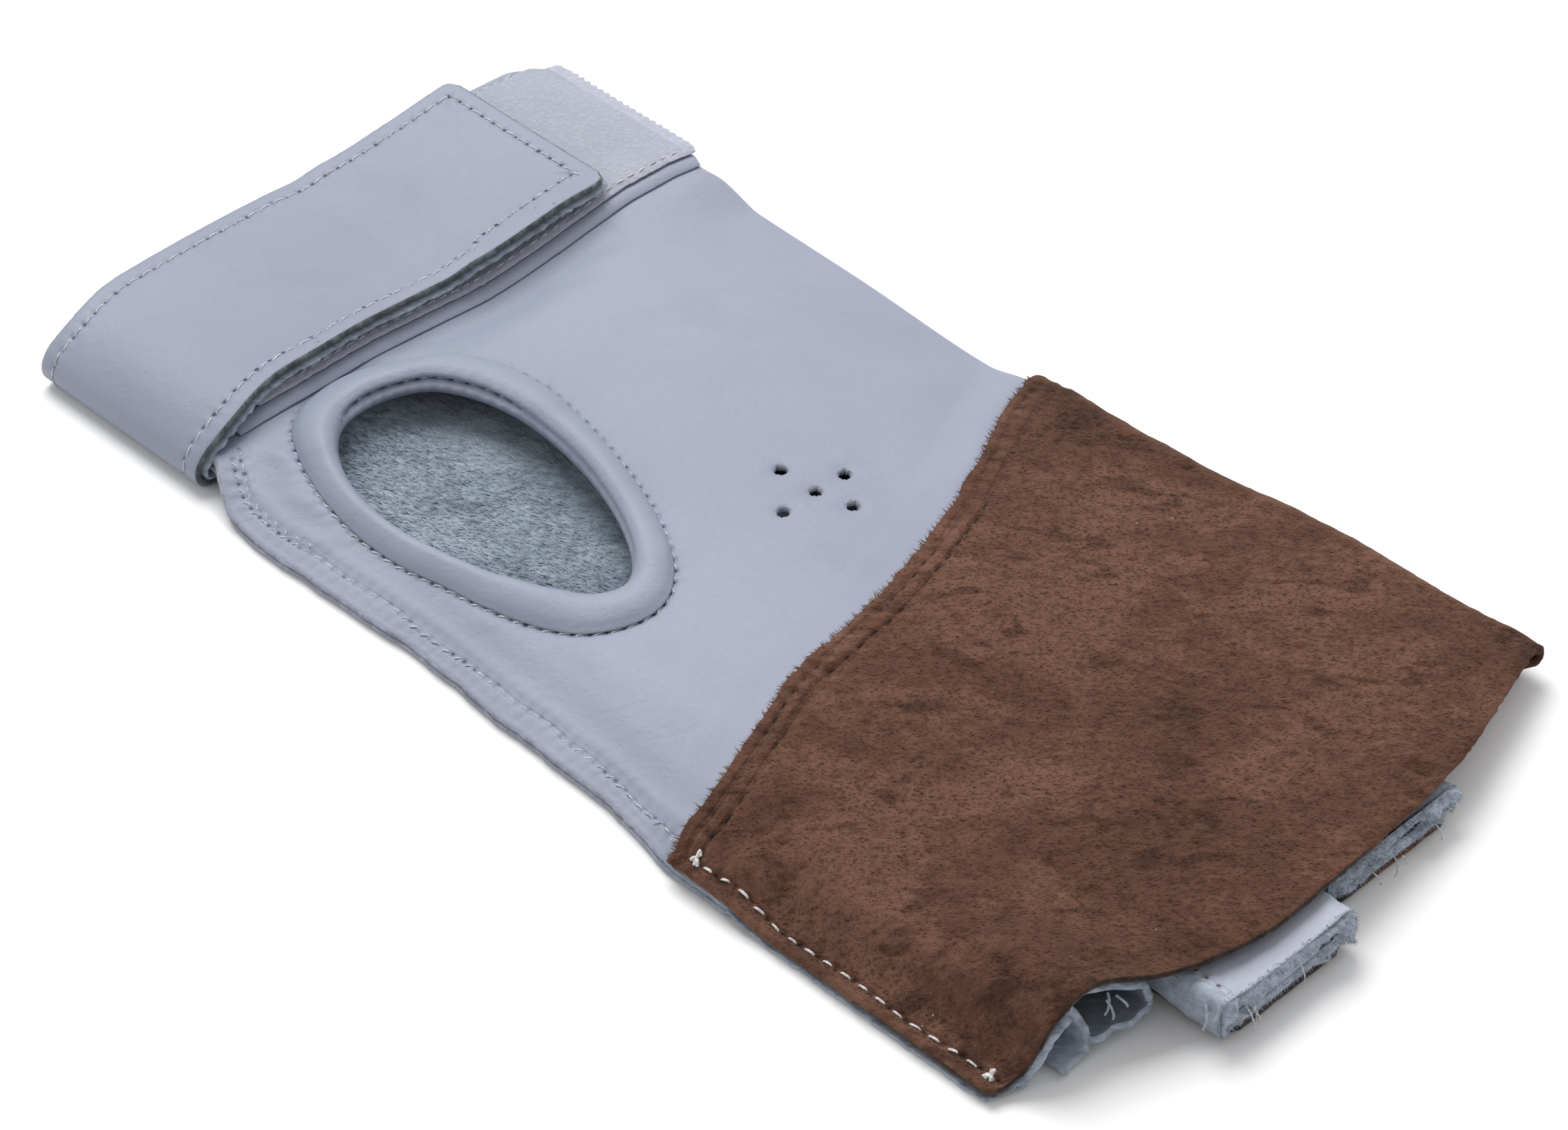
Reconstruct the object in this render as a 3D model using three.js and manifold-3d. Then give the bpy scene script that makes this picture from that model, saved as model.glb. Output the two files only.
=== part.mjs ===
// Fingerless leather bowling glove lying flat: a folded grey hand wrap with a bound thumb hole,
// a hook-and-loop wrist strap, and a brown suede cover over four cut-off finger stalls.
// Millimetres, +X from cuff to fingers, +Y from the sewn edge to the folded edge, +Z up.
import * as THREE from 'three';
import { mergeVertices } from 'three/addons/utils/BufferGeometryUtils.js';
import Module from 'manifold-3d';

const wasm = await Module();
wasm.setup();

// Overall sizes
const GLOVE_LENGTH = 238;      // cuff edge to the longest point of the suede flap
const HAND_WIDTH = 116;        // sewn edge to fold across the palm
const CAVITY_HEIGHT = 6.2;     // room that the flattened hand wrap keeps at its crown
const GAP = 0.3;               // clearance between pieces that lie on each other

// Leather, tape and padding thicknesses
const HIDE = 1.4;
const SUEDE = 1.6;
const BAND_HIDE = 0.9;
const LOOP_THICKNESS = 0.8;
const HOOK_THICKNESS = 0.7;
const STRAP_HIDE = 1.2;
const LINING_THICKNESS = 0.9;
const GUSSET_HIDE = 1.1;

// Wrist strap, cuff band and tapes
const STRAP_WIDTH = 40;
const CUFF_MARGIN = 1;         // cuff band beyond the strap's finger-side edge, beside the margin below
const BAND_WIDTH = 42;
const LOOP_WIDTH = 36.5;
const HOOK_WIDTH = 33;
const STRAP_CLEARANCE = 1.2;   // strap lining to the sewn edge that it goes round
const STRAP_END = 0.834;       // share of the way across where the strap ends
const STRAP_ROOT = 0.39;       // share of the way across where it is sewn on below
const HOOK_START = 0.57;
const STRAP_SKEW = 3;            // how far the strap's bend leans towards the fingers
const CUFF_FADE = 13;          // length in which the wrap settles from the strap to the floor
const CUFF_CORNER = 3;         // corner radius at the cuff's folded end

// Thumb hole and vents
const THUMB_LENGTH = 64;       // clear opening inside the binding
const THUMB_WIDTH = 30.4;
const THUMB_TAPER = 0.25;      // how much blunter the cuff end is
const THUMB_TILT = -0.06;
const THUMB_AT = { along: 0.353, across: -0.233 };
const BINDING_CUT = 2.6;       // edge of the hide behind the binding's inner edge
const BINDING_GAP = 0.5;
const VENT_DIAMETER = 2.2;
const VENT_AT = { along: 0.508, across: 0.0795 };
const VENT_SIDES = 8;

// Suede cover and finger stalls
const OVERLAP = 12;            // hide that reaches in under the suede's edge
const SOLE_FADE = 11;          // length in which the wrap climbs onto the sole
const SOLE_LEAD = 1;           // wrap's full height before the suede's edge
const STALL_HEIGHT = 6;        // middle finger stall, walls and mouth together
const FINGER_ROOM = STALL_HEIGHT + 2 * GAP;
const FLAP_FADE = 26;
const SLOT_WIDTH = 2.6;        // slots between the sole's finger tabs
const SLOT_ROOT = 0.87;
const STALL_ROOT = 0.78;
const INDEX_HIDE = 1.5;

const STRAP_STACK = STRAP_HIDE + LINING_THICKNESS + 2 * GAP;
const SOLE_STACK = SUEDE + GAP;
const EDGE_STACK = 2 * HIDE + GAP;
const BAND_STACK = BAND_HIDE + GAP;
const LOOP_STACK = LOOP_THICKNESS + GAP;
const HOOK_STACK = HOOK_THICKNESS + GAP;

// Side lines as shares of the hand's width, by shares of the length from the cuff
const OUTLINE = [
  { at: 0.000, seam: -0.436, fold: 0.503 },
  { at: 0.184, seam: -0.438, fold: 0.499 },
  { at: 0.200, seam: -0.455, fold: 0.504 },
  { at: 0.228, seam: -0.480, fold: 0.508 },
  { at: 0.265, seam: -0.488, fold: 0.505 },
  { at: 0.349, seam: -0.483, fold: 0.497 },
  { at: 0.475, seam: -0.493, fold: 0.480 },
  { at: 0.559, seam: -0.499, fold: 0.479 },
  { at: 0.630, seam: -0.519, fold: 0.486 },
  { at: 0.685, seam: -0.540, fold: 0.496 },
  { at: 0.785, seam: -0.539, fold: 0.522 },
  { at: 0.880, seam: -0.540, fold: 0.533 },
  { at: 0.937, seam: -0.540, fold: 0.540 },
  { at: 1.030, seam: -0.540, fold: 0.538 },
];

// Rise of the wrap's top panel across the hand, as shares of the cavity's height
const CROWN = [
  { across: 0.00, wrist: 0.00, palm: 0.00 },
  { across: 0.05, wrist: 0.01, palm: 0.10 },
  { across: 0.10, wrist: 0.03, palm: 0.45 },
  { across: 0.18, wrist: 0.05, palm: 0.77 },
  { across: 0.30, wrist: 0.08, palm: 0.88 },
  { across: 0.44, wrist: 0.00, palm: 0.94 },
  { across: 0.56, wrist: -0.12, palm: 0.97 },
  { across: 0.70, wrist: 0.04, palm: 0.90 },
  { across: 0.79, wrist: 0.23, palm: 0.79 },
  { across: 0.88, wrist: 0.38, palm: 0.60 },
  { across: 0.95, wrist: 0.38, palm: 0.38 },
  { across: 1.00, wrist: 0.28, palm: 0.21 },
];

// Suede edges by the share across: raw upper edge and free finger edge, as shares of the length
const SUEDE_EDGES = [
  { across: 0.00, upper: 0.678, free: 0.951 },
  { across: 0.07, upper: 0.674, free: 0.962 },
  { across: 0.15, upper: 0.665, free: 0.964 },
  { across: 0.20, upper: 0.656, free: 0.977 },
  { across: 0.28, upper: 0.641, free: 0.991 },
  { across: 0.38, upper: 0.633, free: 1.000 },
  { across: 0.48, upper: 0.625, free: 0.998 },
  { across: 0.60, upper: 0.609, free: 0.992 },
  { across: 0.75, upper: 0.580, free: 0.981 },
  { across: 0.88, upper: 0.548, free: 0.961 },
  { across: 1.00, upper: 0.523, free: 0.942 },
];

// Room between flap and sole, as shares of the room that the middle stall needs
const FLAP_ROOM = [
  { across: 0.00, middle: 0.28, free: 0.28 },
  { across: 0.05, middle: 0.62, free: 0.72 },
  { across: 0.09, middle: 0.88, free: 1.22 },
  { across: 0.13, middle: 1.00, free: 1.48 },
  { across: 0.17, middle: 1.04, free: 1.42 },
  { across: 0.22, middle: 1.06, free: 1.22 },
  { across: 0.27, middle: 1.08, free: 1.08 },
  { across: 0.38, middle: 1.08, free: 1.04 },
  { across: 0.50, middle: 1.06, free: 1.01 },
  { across: 0.62, middle: 1.02, free: 0.94 },
  { across: 0.74, middle: 0.94, free: 0.89 },
  { across: 0.82, middle: 0.82, free: 0.74 },
  { across: 0.90, middle: 0.64, free: 0.56 },
  { across: 0.96, middle: 0.48, free: 0.40 },
  { across: 1.00, middle: 0.36, free: 0.29 },
];

// Sole tabs: where each starts and ends across, and its tip along the length
const SOLE_TABS = [
  { from: 0.014, to: 0.238, tip: 0.905 },
  { from: 0.242, to: 0.482, tip: 1.014 },
  { from: 0.486, to: 0.737, tip: 0.988 },
  { from: 0.741, to: 1.000, tip: 0.940 },
];

// Flattened stalls: place across, tip along, and heights as shares of the middle stall's height
const STALLS = [
  { name: 'middle_stall', from: 0.246, to: 0.480, tip: 1.019, height: 1.00, lower: 0.42, upper: 0.34 },
  { name: 'ring_stall', from: 0.498, to: 0.735, tip: 0.989, height: 0.84, lower: 0.35, upper: 0.30 },
  { name: 'little_stall', from: 0.752, to: 0.915, tip: 0.925, height: 0.50, lower: 0.21, upper: 0.21 },
];

// Crumpled index stall: its skin from the lower wall's outer corner round two lobes, as shares
const INDEX_SKIN = [
  { across: 1.000, rise: 0.00 },
  { across: 0.740, rise: 0.00 },
  { across: 0.480, rise: 0.00 },
  { across: 0.220, rise: 0.00 },
  { across: 0.050, rise: 0.03 },
  { across: 0.000, rise: 0.24 },
  { across: 0.010, rise: 0.62 },
  { across: 0.110, rise: 0.92 },
  { across: 0.260, rise: 1.00 },
  { across: 0.400, rise: 0.93 },
  { across: 0.500, rise: 0.70 },
  { across: 0.580, rise: 0.64 },
  { across: 0.680, rise: 0.70 },
  { across: 0.820, rise: 0.80 },
  { across: 0.940, rise: 0.76 },
  { across: 1.000, rise: 0.58 },
];
const INDEX_AT = { from: 0.098, to: 0.226, tip: 0.966 };

// Vent holes, as steps from the middle one along and across the glove
const VENTS = [
  { along: 0, across: 0 },
  { along: -7.7, across: -0.2 },
  { along: 0.1, across: 6.5 },
  { along: 6.7, across: 1.7 },
  { along: 0, across: -7.3 },
];

// Width of the binding by the turn round the opening in degrees, from its finger end
const BINDING_WIDTHS = [
  { turn: 0, width: 7.6 },
  { turn: 20, width: 6.3 },
  { turn: 50, width: 5.7 },
  { turn: 76, width: 5.7 },
  { turn: 99, width: 6.5 },
  { turn: 120, width: 7.8 },
  { turn: 140, width: 8.3 },
  { turn: 160, width: 8.6 },
  { turn: 180, width: 8.6 },
  { turn: 200, width: 8.2 },
  { turn: 215, width: 6.4 },
  { turn: 230, width: 5.1 },
  { turn: 248, width: 4.6 },
  { turn: 284, width: 4.7 },
  { turn: 300, width: 5.7 },
  { turn: 320, width: 7.2 },
  { turn: 340, width: 8.3 },
  { turn: 360, width: 7.6 },
];

// Binding section: share of the width outwards from the opening's edge and height over the hide
const BINDING_SECTION = [
  { out: 1.00, rise: 0.00 },
  { out: 1.00, rise: 0.80 },
  { out: 0.82, rise: 1.45 },
  { out: 0.55, rise: 2.05 },
  { out: 0.28, rise: 1.95 },
  { out: 0.08, rise: 0.95 },
  { out: 0.00, rise: -0.60 },
  { out: 0.05, rise: -1.85 },
  { out: 0.16, rise: -2.45 },
  { out: 0.27, rise: -2.05 },
  { out: 0.30, rise: 0.00 },
  { out: 0.65, rise: 0.00 },
];

// Sampling: shares across the hand, steps along it, and steps round a fold
const TOP_STEPS = [
  0, 0.03, 0.065, 0.1, 0.14, 0.18, 0.24, 0.32, 0.4, 0.48, 0.56, 0.64, 0.72, 0.8, 0.87, 0.93, 0.97, 1,
];
const SOLE_STEPS = [1, 0.85, 0.65, 0.54, 0.47, 0.39, 0.2, 0];
const FOLD_STEPS = 6;
const BINDING_STEPS = 40;

const lerp = THREE.MathUtils.lerp;
const fade = (x, from, to) => THREE.MathUtils.smoothstep(x, from, to);

// Monotone cubic through one column of a table, held flat past its ends
function column(rows, by, key, t) {
  const last = rows.length - 1;
  if (t <= rows[0][by]) return rows[0][key];
  if (t >= rows[last][by]) return rows[last][key];
  let i = 0;
  while (rows[i + 1][by] < t) i += 1;
  const step = (k) => rows[k + 1][by] - rows[k][by];
  const slope = (k) => (rows[k + 1][key] - rows[k][key]) / step(k);
  const tangent = (k) => {
    if (k === 0) return slope(0);
    if (k === last) return slope(last - 1);
    const a = slope(k - 1);
    const b = slope(k);
    return a * b <= 0 ? 0 : (2 * a * b) / (a + b);
  };
  const h = step(i);
  const u = (t - rows[i][by]) / h;
  const rise = (2 * u - 3) * u * u + 1;
  return rise * rows[i][key] + (1 - rise) * rows[i + 1][key]
    + h * u * (1 - u) * ((1 - u) * tangent(i) - u * tangent(i + 1));
}

const seamY = (x) => HAND_WIDTH * column(OUTLINE, 'at', 'seam', x / GLOVE_LENGTH);
const foldY = (x) => HAND_WIDTH * column(OUTLINE, 'at', 'fold', x / GLOVE_LENGTH);
const yAt = (x, across) => lerp(seamY(x), foldY(x), across);
const acrossAt = (x, y) => (y - seamY(x)) / (foldY(x) - seamY(x));
const upperEdge = (across) => GLOVE_LENGTH * column(SUEDE_EDGES, 'across', 'upper', across);
const freeEdge = (across) => GLOVE_LENGTH * column(SUEDE_EDGES, 'across', 'free', across);

const cuffEnd = Math.max(BAND_WIDTH, STRAP_WIDTH + STRAP_SKEW) + CUFF_MARGIN;
const cuffFade = (x) => fade(x, cuffEnd, cuffEnd + CUFF_FADE);
const strapSkew = (across) => STRAP_SKEW * (1 - fade(across, 0, 0.16));
const soleFade = (x, across) => fade(x, upperEdge(across) - SOLE_FADE, upperEdge(across) - SOLE_LEAD);

// Underside of the wrap's lower panel: over the strap's root, on the floor, then on the sole
function wrapUnder(x, across) {
  const root = 1 - fade(across, STRAP_ROOT, STRAP_ROOT + 0.08);
  return STRAP_STACK * (1 - cuffFade(x)) * root + SOLE_STACK * soleFade(x, across);
}

// Top of the wrap's upper panel
function wrapTop(x, across) {
  const wrist = STRAP_STACK + EDGE_STACK + CAVITY_HEIGHT * column(CROWN, 'across', 'wrist', across);
  const palm = EDGE_STACK + CAVITY_HEIGHT * column(CROWN, 'across', 'palm', across);
  return lerp(wrist, palm, cuffFade(x)) + SOLE_STACK * soleFade(x, across);
}

// Top of the suede flap: over the hide's end first, then over the finger stalls
function flapTop(x, across) {
  const start = upperEdge(across) + OVERLAP;
  const end = freeEdge(across);
  const room = lerp(
    column(FLAP_ROOM, 'across', 'middle', across),
    column(FLAP_ROOM, 'across', 'free', across),
    fade(x, lerp(start, end, 0.4), end),
  );
  const loose = 2 * SUEDE + FINGER_ROOM * room;
  const lapped = wrapTop(x, across) + GAP + SUEDE;
  return lerp(lapped, loose, fade(x, start, start + FLAP_FADE));
}

// Layers on the wrist under the strap, measured up from the wrap's top
function strapTop(x, across) {
  const tapes = (BAND_STACK + LOOP_STACK) * fade(across, 0.01, 0.05);
  const hook = HOOK_STACK * fade(across, HOOK_START - 0.08, HOOK_START - 0.01);
  return wrapTop(x, across) + tapes + hook + STRAP_STACK;
}

// A closed body from points of a skin and the same skin moved in by its wall
function slab(skin, wall, closed = false) {
  const rows = skin.length;
  const cols = skin[0].length;
  const positions = [...skin.flat(), ...wall.flat()].flatMap((p) => [p.x, p.y, p.z]);
  const inner = rows * cols;
  const index = [];
  const quad = (a, b, c, d) => index.push(a, b, c, a, c, d);
  const id = (i, j, side) => side + i * cols + (j % cols);
  const spans = closed ? cols : cols - 1;
  for (let i = 0; i + 1 < rows; i += 1) {
    for (let j = 0; j < spans; j += 1) {
      quad(id(i, j, 0), id(i + 1, j, 0), id(i + 1, j + 1, 0), id(i, j + 1, 0));
      quad(id(i, j, inner), id(i, j + 1, inner), id(i + 1, j + 1, inner), id(i + 1, j, inner));
    }
  }
  for (let j = 0; j < spans; j += 1) {
    quad(id(0, j, 0), id(0, j + 1, 0), id(0, j + 1, inner), id(0, j, inner));
    quad(id(rows - 1, j, 0), id(rows - 1, j, inner), id(rows - 1, j + 1, inner), id(rows - 1, j + 1, 0));
  }
  for (let i = 0; i + 1 < rows && !closed; i += 1) {
    quad(id(i, 0, 0), id(i, 0, inner), id(i + 1, 0, inner), id(i + 1, 0, 0));
    quad(id(i, cols - 1, 0), id(i + 1, cols - 1, 0), id(i + 1, cols - 1, inner), id(i, cols - 1, inner));
  }
  return outward(positions, index);
}

// A closed ring from one closed section at each step round it
function ring(sections) {
  const rows = sections.length;
  const cols = sections[0].length;
  const index = [];
  for (let i = 0; i < rows; i += 1) {
    for (let j = 0; j < cols; j += 1) {
      const a = i * cols + j;
      const b = ((i + 1) % rows) * cols + j;
      const c = ((i + 1) % rows) * cols + ((j + 1) % cols);
      const d = i * cols + ((j + 1) % cols);
      index.push(a, b, c, a, c, d);
    }
  }
  return outward(sections.flat().flatMap((p) => [p.x, p.y, p.z]), index);
}

// Indexed geometry whose faces point out
function outward(positions, index) {
  const corner = (k) => new THREE.Vector3().fromArray(positions, 3 * index[k]);
  let volume = 0;
  for (let k = 0; k < index.length; k += 3) {
    volume += corner(k).dot(corner(k + 1).cross(corner(k + 2)));
  }
  if (volume < 0) {
    for (let k = 0; k < index.length; k += 3) {
      [index[k + 1], index[k + 2]] = [index[k + 2], index[k + 1]];
    }
  }
  const geometry = new THREE.BufferGeometry();
  geometry.setAttribute('position', new THREE.Float32BufferAttribute(positions, 3));
  geometry.setIndex(index);
  return geometry;
}

// Moves each point of an open or closed section in the YZ plane along its normal
function offsetSection(points, distance, closed = false) {
  const count = points.length;
  return points.map((p, k) => {
    const before = points[closed ? (k + count - 1) % count : Math.max(k - 1, 0)];
    const after = points[closed ? (k + 1) % count : Math.min(k + 1, count - 1)];
    const run = Math.hypot(after.y - before.y, after.z - before.z);
    return new THREE.Vector3(
      p.x,
      p.y + (distance * (after.z - before.z)) / run,
      p.z - (distance * (after.y - before.y)) / run,
    );
  });
}

const fractions = (steps) => Array.from({ length: steps + 1 }, (_, k) => k / steps);

// A half turn from the upper to the lower run at the folded edge
function foldTurn(x, low, high, share = 1) {
  const radius = (high - low) / 2;
  return fractions(FOLD_STEPS)
    .slice(1)
    .filter((t) => t <= share)
    .map((t) => new THREE.Vector3(
      x,
      foldY(x) + radius * Math.sin(t * Math.PI),
      low + radius * (1 + Math.cos(t * Math.PI)),
    ));
}

function skinPoint(x, across, heightAt) {
  return new THREE.Vector3(x, yAt(x, across), heightAt(x, across));
}

// Section of the wrap's skin from the sewn edge over the top, round the fold and back below
function wrapSkin(place) {
  const top = TOP_STEPS.map((across) => skinPoint(place(across), across, wrapTop));
  const x = place(1);
  const turn = foldTurn(x, wrapUnder(x, 1), wrapTop(x, 1));
  const under = SOLE_STEPS.slice(1).map((across) => skinPoint(place(across), across, wrapUnder));
  return [...top, ...turn, ...under];
}

// Where the wrap's sections lie: under the strap, where it settles, over the palm, up onto the sole
function wrapPlaces() {
  const settled = cuffEnd + CUFF_FADE;
  const climb = (across) => upperEdge(across) - SOLE_FADE;
  return [
    ...[0, 0.5, 1].map((t) => (across) => lerp(cuffEdge(across), cuffEnd, t)),
    ...[0.25, 0.5, 0.75, 1].map((t) => () => lerp(cuffEnd, settled, t)),
    ...[0.2, 0.4, 0.6, 0.8, 1].map((t) => (across) => lerp(settled, climb(across), t)),
    ...[0.25, 0.5, 0.75, 1].map((t) => (across) => lerp(climb(across), upperEdge(across) - SOLE_LEAD, t)),
    ...[0.5, 1].map((t) => (across) => upperEdge(across) + OVERLAP * t),
  ];
}

// Cuff edge with its round corner at the fold, leaning with the strap at the sewn edge
function cuffEdge(across) {
  const corner = Math.max(0, 1 - (1 - across) / 0.06);
  return CUFF_CORNER * corner * corner + strapSkew(across);
}

function coverSkin(along) {
  const place = (across) => lerp(upperEdge(across), freeEdge(across), along);
  const top = TOP_STEPS.map((across) => skinPoint(place(across), across, flapTop));
  const turn = foldTurn(place(1), 0, flapTop(place(1), 1));
  const sole = [...SOLE_TABS].reverse().flatMap(({ from, to, tip }) => [to, (from + to) / 2, from]
    .filter((across) => across < 1)
    .map((across) => skinPoint(lerp(upperEdge(across), GLOVE_LENGTH * tip, along), across, () => 0)));
  return [...top, ...turn, ...sole];
}

function toSolid(geometry) {
  const bare = geometry.clone();
  bare.deleteAttribute('normal');
  bare.deleteAttribute('uv');
  const merged = mergeVertices(bare, 1e-4);
  return new wasm.Manifold(new wasm.Mesh({
    numProp: 3,
    vertProperties: new Float32Array(merged.attributes.position.array),
    triVerts: new Uint32Array(merged.index.array),
  }));
}

function fromSolid(solid) {
  const mesh = solid.getMesh();
  const geometry = new THREE.BufferGeometry();
  geometry.setAttribute('position', new THREE.Float32BufferAttribute(mesh.vertProperties, 3));
  geometry.setIndex(Array.from(mesh.triVerts));
  return geometry;
}

// An upright cutter through the upper panel: its floor follows the gap over the lower panel
function panelCutter(outline) {
  const middle = outline.reduce((sum, p) => sum.add(p), new THREE.Vector2()).divideScalar(outline.length);
  const ceiling = EDGE_STACK + STRAP_STACK + 2 * CAVITY_HEIGHT;
  const floorAt = (p) => {
    const across = acrossAt(p.x, p.y);
    return (wrapUnder(p.x, across) + wrapTop(p.x, across)) / 2;
  };
  const rim = [...outline, middle];
  const positions = [...rim.flatMap((p) => [p.x, p.y, ceiling]), ...rim.flatMap((p) => [p.x, p.y, floorAt(p)])];
  const count = outline.length;
  const low = rim.length;
  const index = [];
  for (let k = 0; k < count; k += 1) {
    const next = (k + 1) % count;
    index.push(k, next, count, low + next, low + k, low + count);
    index.push(k, low + k, low + next, k, low + next, next);
  }
  return toSolid(outward(positions, index));
}

// A block cut up through the sole
function soleCutter(fromX, toX, middleY) {
  const block = new THREE.BoxGeometry(toX - fromX, SLOT_WIDTH, 2 * SUEDE + GAP);
  block.translate((fromX + toX) / 2, middleY, 0);
  return toSolid(block);
}

// Egg-shaped opening: the point at a turn, moved outwards
function thumbPoint(turn, out) {
  const egg = (t) => {
    const along = (THUMB_LENGTH / 2) * Math.cos(t);
    const side = (THUMB_WIDTH / 2) * Math.sin(t) * (1 - THUMB_TAPER * Math.cos(t));
    return new THREE.Vector2(along, side);
  };
  const tangent = egg(turn + 0.001).sub(egg(turn - 0.001)).normalize();
  const point = egg(turn).add(new THREE.Vector2(tangent.y, -tangent.x).multiplyScalar(out));
  point.rotateAround(new THREE.Vector2(), THUMB_TILT);
  return point.add(new THREE.Vector2(THUMB_AT.along * GLOVE_LENGTH, THUMB_AT.across * HAND_WIDTH));
}

function handWrap() {
  const skin = wrapPlaces().map(wrapSkin);
  const wall = skin.map((section) => offsetSection(section, HIDE));
  let solid = toSolid(slab(skin, wall));
  const turns = fractions(BINDING_STEPS).slice(0, -1).map((t) => 2 * Math.PI * t);
  solid = solid.subtract(panelCutter(turns.map((turn) => thumbPoint(turn, BINDING_CUT))));
  for (const vent of VENTS) {
    const centre = new THREE.Vector2(
      VENT_AT.along * GLOVE_LENGTH + vent.along,
      VENT_AT.across * HAND_WIDTH + vent.across,
    );
    const round = fractions(VENT_SIDES).slice(0, -1).map((t) => new THREE.Vector2(
      centre.x + (VENT_DIAMETER / 2) * Math.cos(2 * Math.PI * t),
      centre.y + (VENT_DIAMETER / 2) * Math.sin(2 * Math.PI * t),
    ));
    solid = solid.subtract(panelCutter(round));
  }
  return fromSolid(solid);
}

function thumbBinding() {
  const turns = fractions(BINDING_STEPS).slice(0, -1).map((t) => 2 * Math.PI * t);
  return ring(turns.map((turn) => {
    const width = column(BINDING_WIDTHS, 'turn', 'width', THREE.MathUtils.radToDeg(turn));
    return BINDING_SECTION.map(({ out, rise }) => {
      const point = thumbPoint(turn, out * width);
      const rest = thumbPoint(turn, Math.max(out * width, BINDING_CUT));
      const hide = wrapTop(rest.x, acrossAt(rest.x, rest.y));
      return new THREE.Vector3(point.x, point.y, hide + rise + BINDING_GAP);
    });
  }));
}

// A strip that follows the wrap's top and turns partly round its fold, lifted off it
function cuffStrip(from, to, start, lift, thickness, share) {
  const across = [start, ...TOP_STEPS.filter((step) => step > start + 0.01)];
  const sections = [0, 0.33, 0.66, 1].map((t) => {
    const place = (c) => lerp(Math.max(from + strapSkew(c), from / 2 + cuffEdge(c)), to, t);
    const top = across.map((c) => skinPoint(place(c), c, wrapTop));
    const x = place(1);
    return [...top, ...foldTurn(x, wrapUnder(x, 1), wrapTop(x, 1), share)];
  });
  const skin = sections.map((section) => offsetSection(section, -(lift + thickness)));
  const wall = sections.map((section) => offsetSection(section, -lift));
  return slab(skin, wall);
}

function cuffBand() {
  return cuffStrip(0, BAND_WIDTH, 0.055, GAP, BAND_HIDE, 0.34);
}

function loopTape() {
  const margin = (STRAP_WIDTH - LOOP_WIDTH) / 2 + CUFF_MARGIN;
  return cuffStrip(margin, margin + LOOP_WIDTH, 0.07, GAP + BAND_STACK, LOOP_THICKNESS, 0.17);
}

// Strap skin from its root below, round the sewn edge and over the top
function strapSkin(x) {
  const reach = STRAP_CLEARANCE + STRAP_STACK - GAP;
  const height = strapTop(x, 0);
  const root = x + STRAP_SKEW;
  const below = [STRAP_ROOT, 0.3, 0.2, 0.1].map((c) => new THREE.Vector3(root, yAt(x, c), 0));
  const bend = fractions(FOLD_STEPS + 2).map((t) => new THREE.Vector3(
    root,
    seamY(x) - reach * Math.sin(t * Math.PI),
    (height / 2) * (1 - Math.cos(t * Math.PI)),
  ));
  const above = [...TOP_STEPS.filter((c) => c > 0 && c < STRAP_END - 0.01), STRAP_END]
    .map((c) => new THREE.Vector3(x + strapSkew(c), yAt(x, c), strapTop(x, c)));
  return [...below, ...bend, ...above];
}

function strapLayer(lift, thickness) {
  const sections = [0, 0.33, 0.66, 1].map((t) => strapSkin(t * STRAP_WIDTH));
  const skin = sections.map((section) => offsetSection(section, lift));
  const wall = sections.map((section) => offsetSection(section, lift + thickness));
  return slab(skin, wall);
}

function hookTape() {
  const margin = (STRAP_WIDTH - HOOK_WIDTH) / 2;
  const steps = [HOOK_START, 0.64, 0.72, 0.8, STRAP_END - 0.02];
  const layer = (lift) => [margin, STRAP_WIDTH / 2, STRAP_WIDTH - margin].map((x) => steps.map(
    (c) => new THREE.Vector3(x, yAt(x, c), wrapTop(x, c) + BAND_STACK + LOOP_STACK + lift),
  ));
  return slab(layer(GAP + HOOK_THICKNESS), layer(GAP));
}

function suedeCover() {
  const steps = [0, 0.07, 0.14, 0.22, 0.31, 0.4, 0.5, 0.6, 0.7, 0.8, 0.9, 1];
  const skin = steps.map(coverSkin);
  const wall = skin.map((section) => offsetSection(section, SUEDE));
  let solid = toSolid(slab(skin, wall));
  const root = SLOT_ROOT * GLOVE_LENGTH;
  const tip = 1.1 * GLOVE_LENGTH;
  for (const tab of SOLE_TABS.slice(1)) {
    solid = solid.subtract(soleCutter(root, tip, yAt(root, tab.from - 0.002)));
  }
  return fromSolid(solid);
}

// A flattened tube with its open mouth at both ends
function stall({ from, to, tip, height, lower, upper }) {
  const top = STALL_HEIGHT * height;
  const floor = SOLE_STACK;
  const outline = (inset, low, high) => [
    [0, low + (high - low) * 0.25], [0.04, low], [0.35, low], [0.65, low], [0.96, low],
    [1, low + (high - low) * 0.25], [1, high - (high - low) * 0.25], [0.96, high],
    [0.65, high], [0.35, high], [0.04, high], [0, high - (high - low) * 0.25],
  ].map(([share, z]) => ({ share, z, inset }));
  const place = (row, x) => {
    const a = yAt(x, from) + row.inset;
    const b = yAt(x, to) - row.inset;
    return new THREE.Vector3(x, lerp(a, b, row.share), floor + row.z);
  };
  const ends = [STALL_ROOT, lerp(STALL_ROOT, tip, 0.5), tip].map((share) => share * GLOVE_LENGTH);
  const skin = ends.map((x) => outline(0, 0, top).map((row) => place(row, x)));
  const mouth = outline(STALL_HEIGHT * 0.36, STALL_HEIGHT * lower, top - STALL_HEIGHT * upper);
  const wall = ends.map((x) => mouth.map((row) => place(row, x)));
  return slab(skin, wall, true);
}

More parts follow.
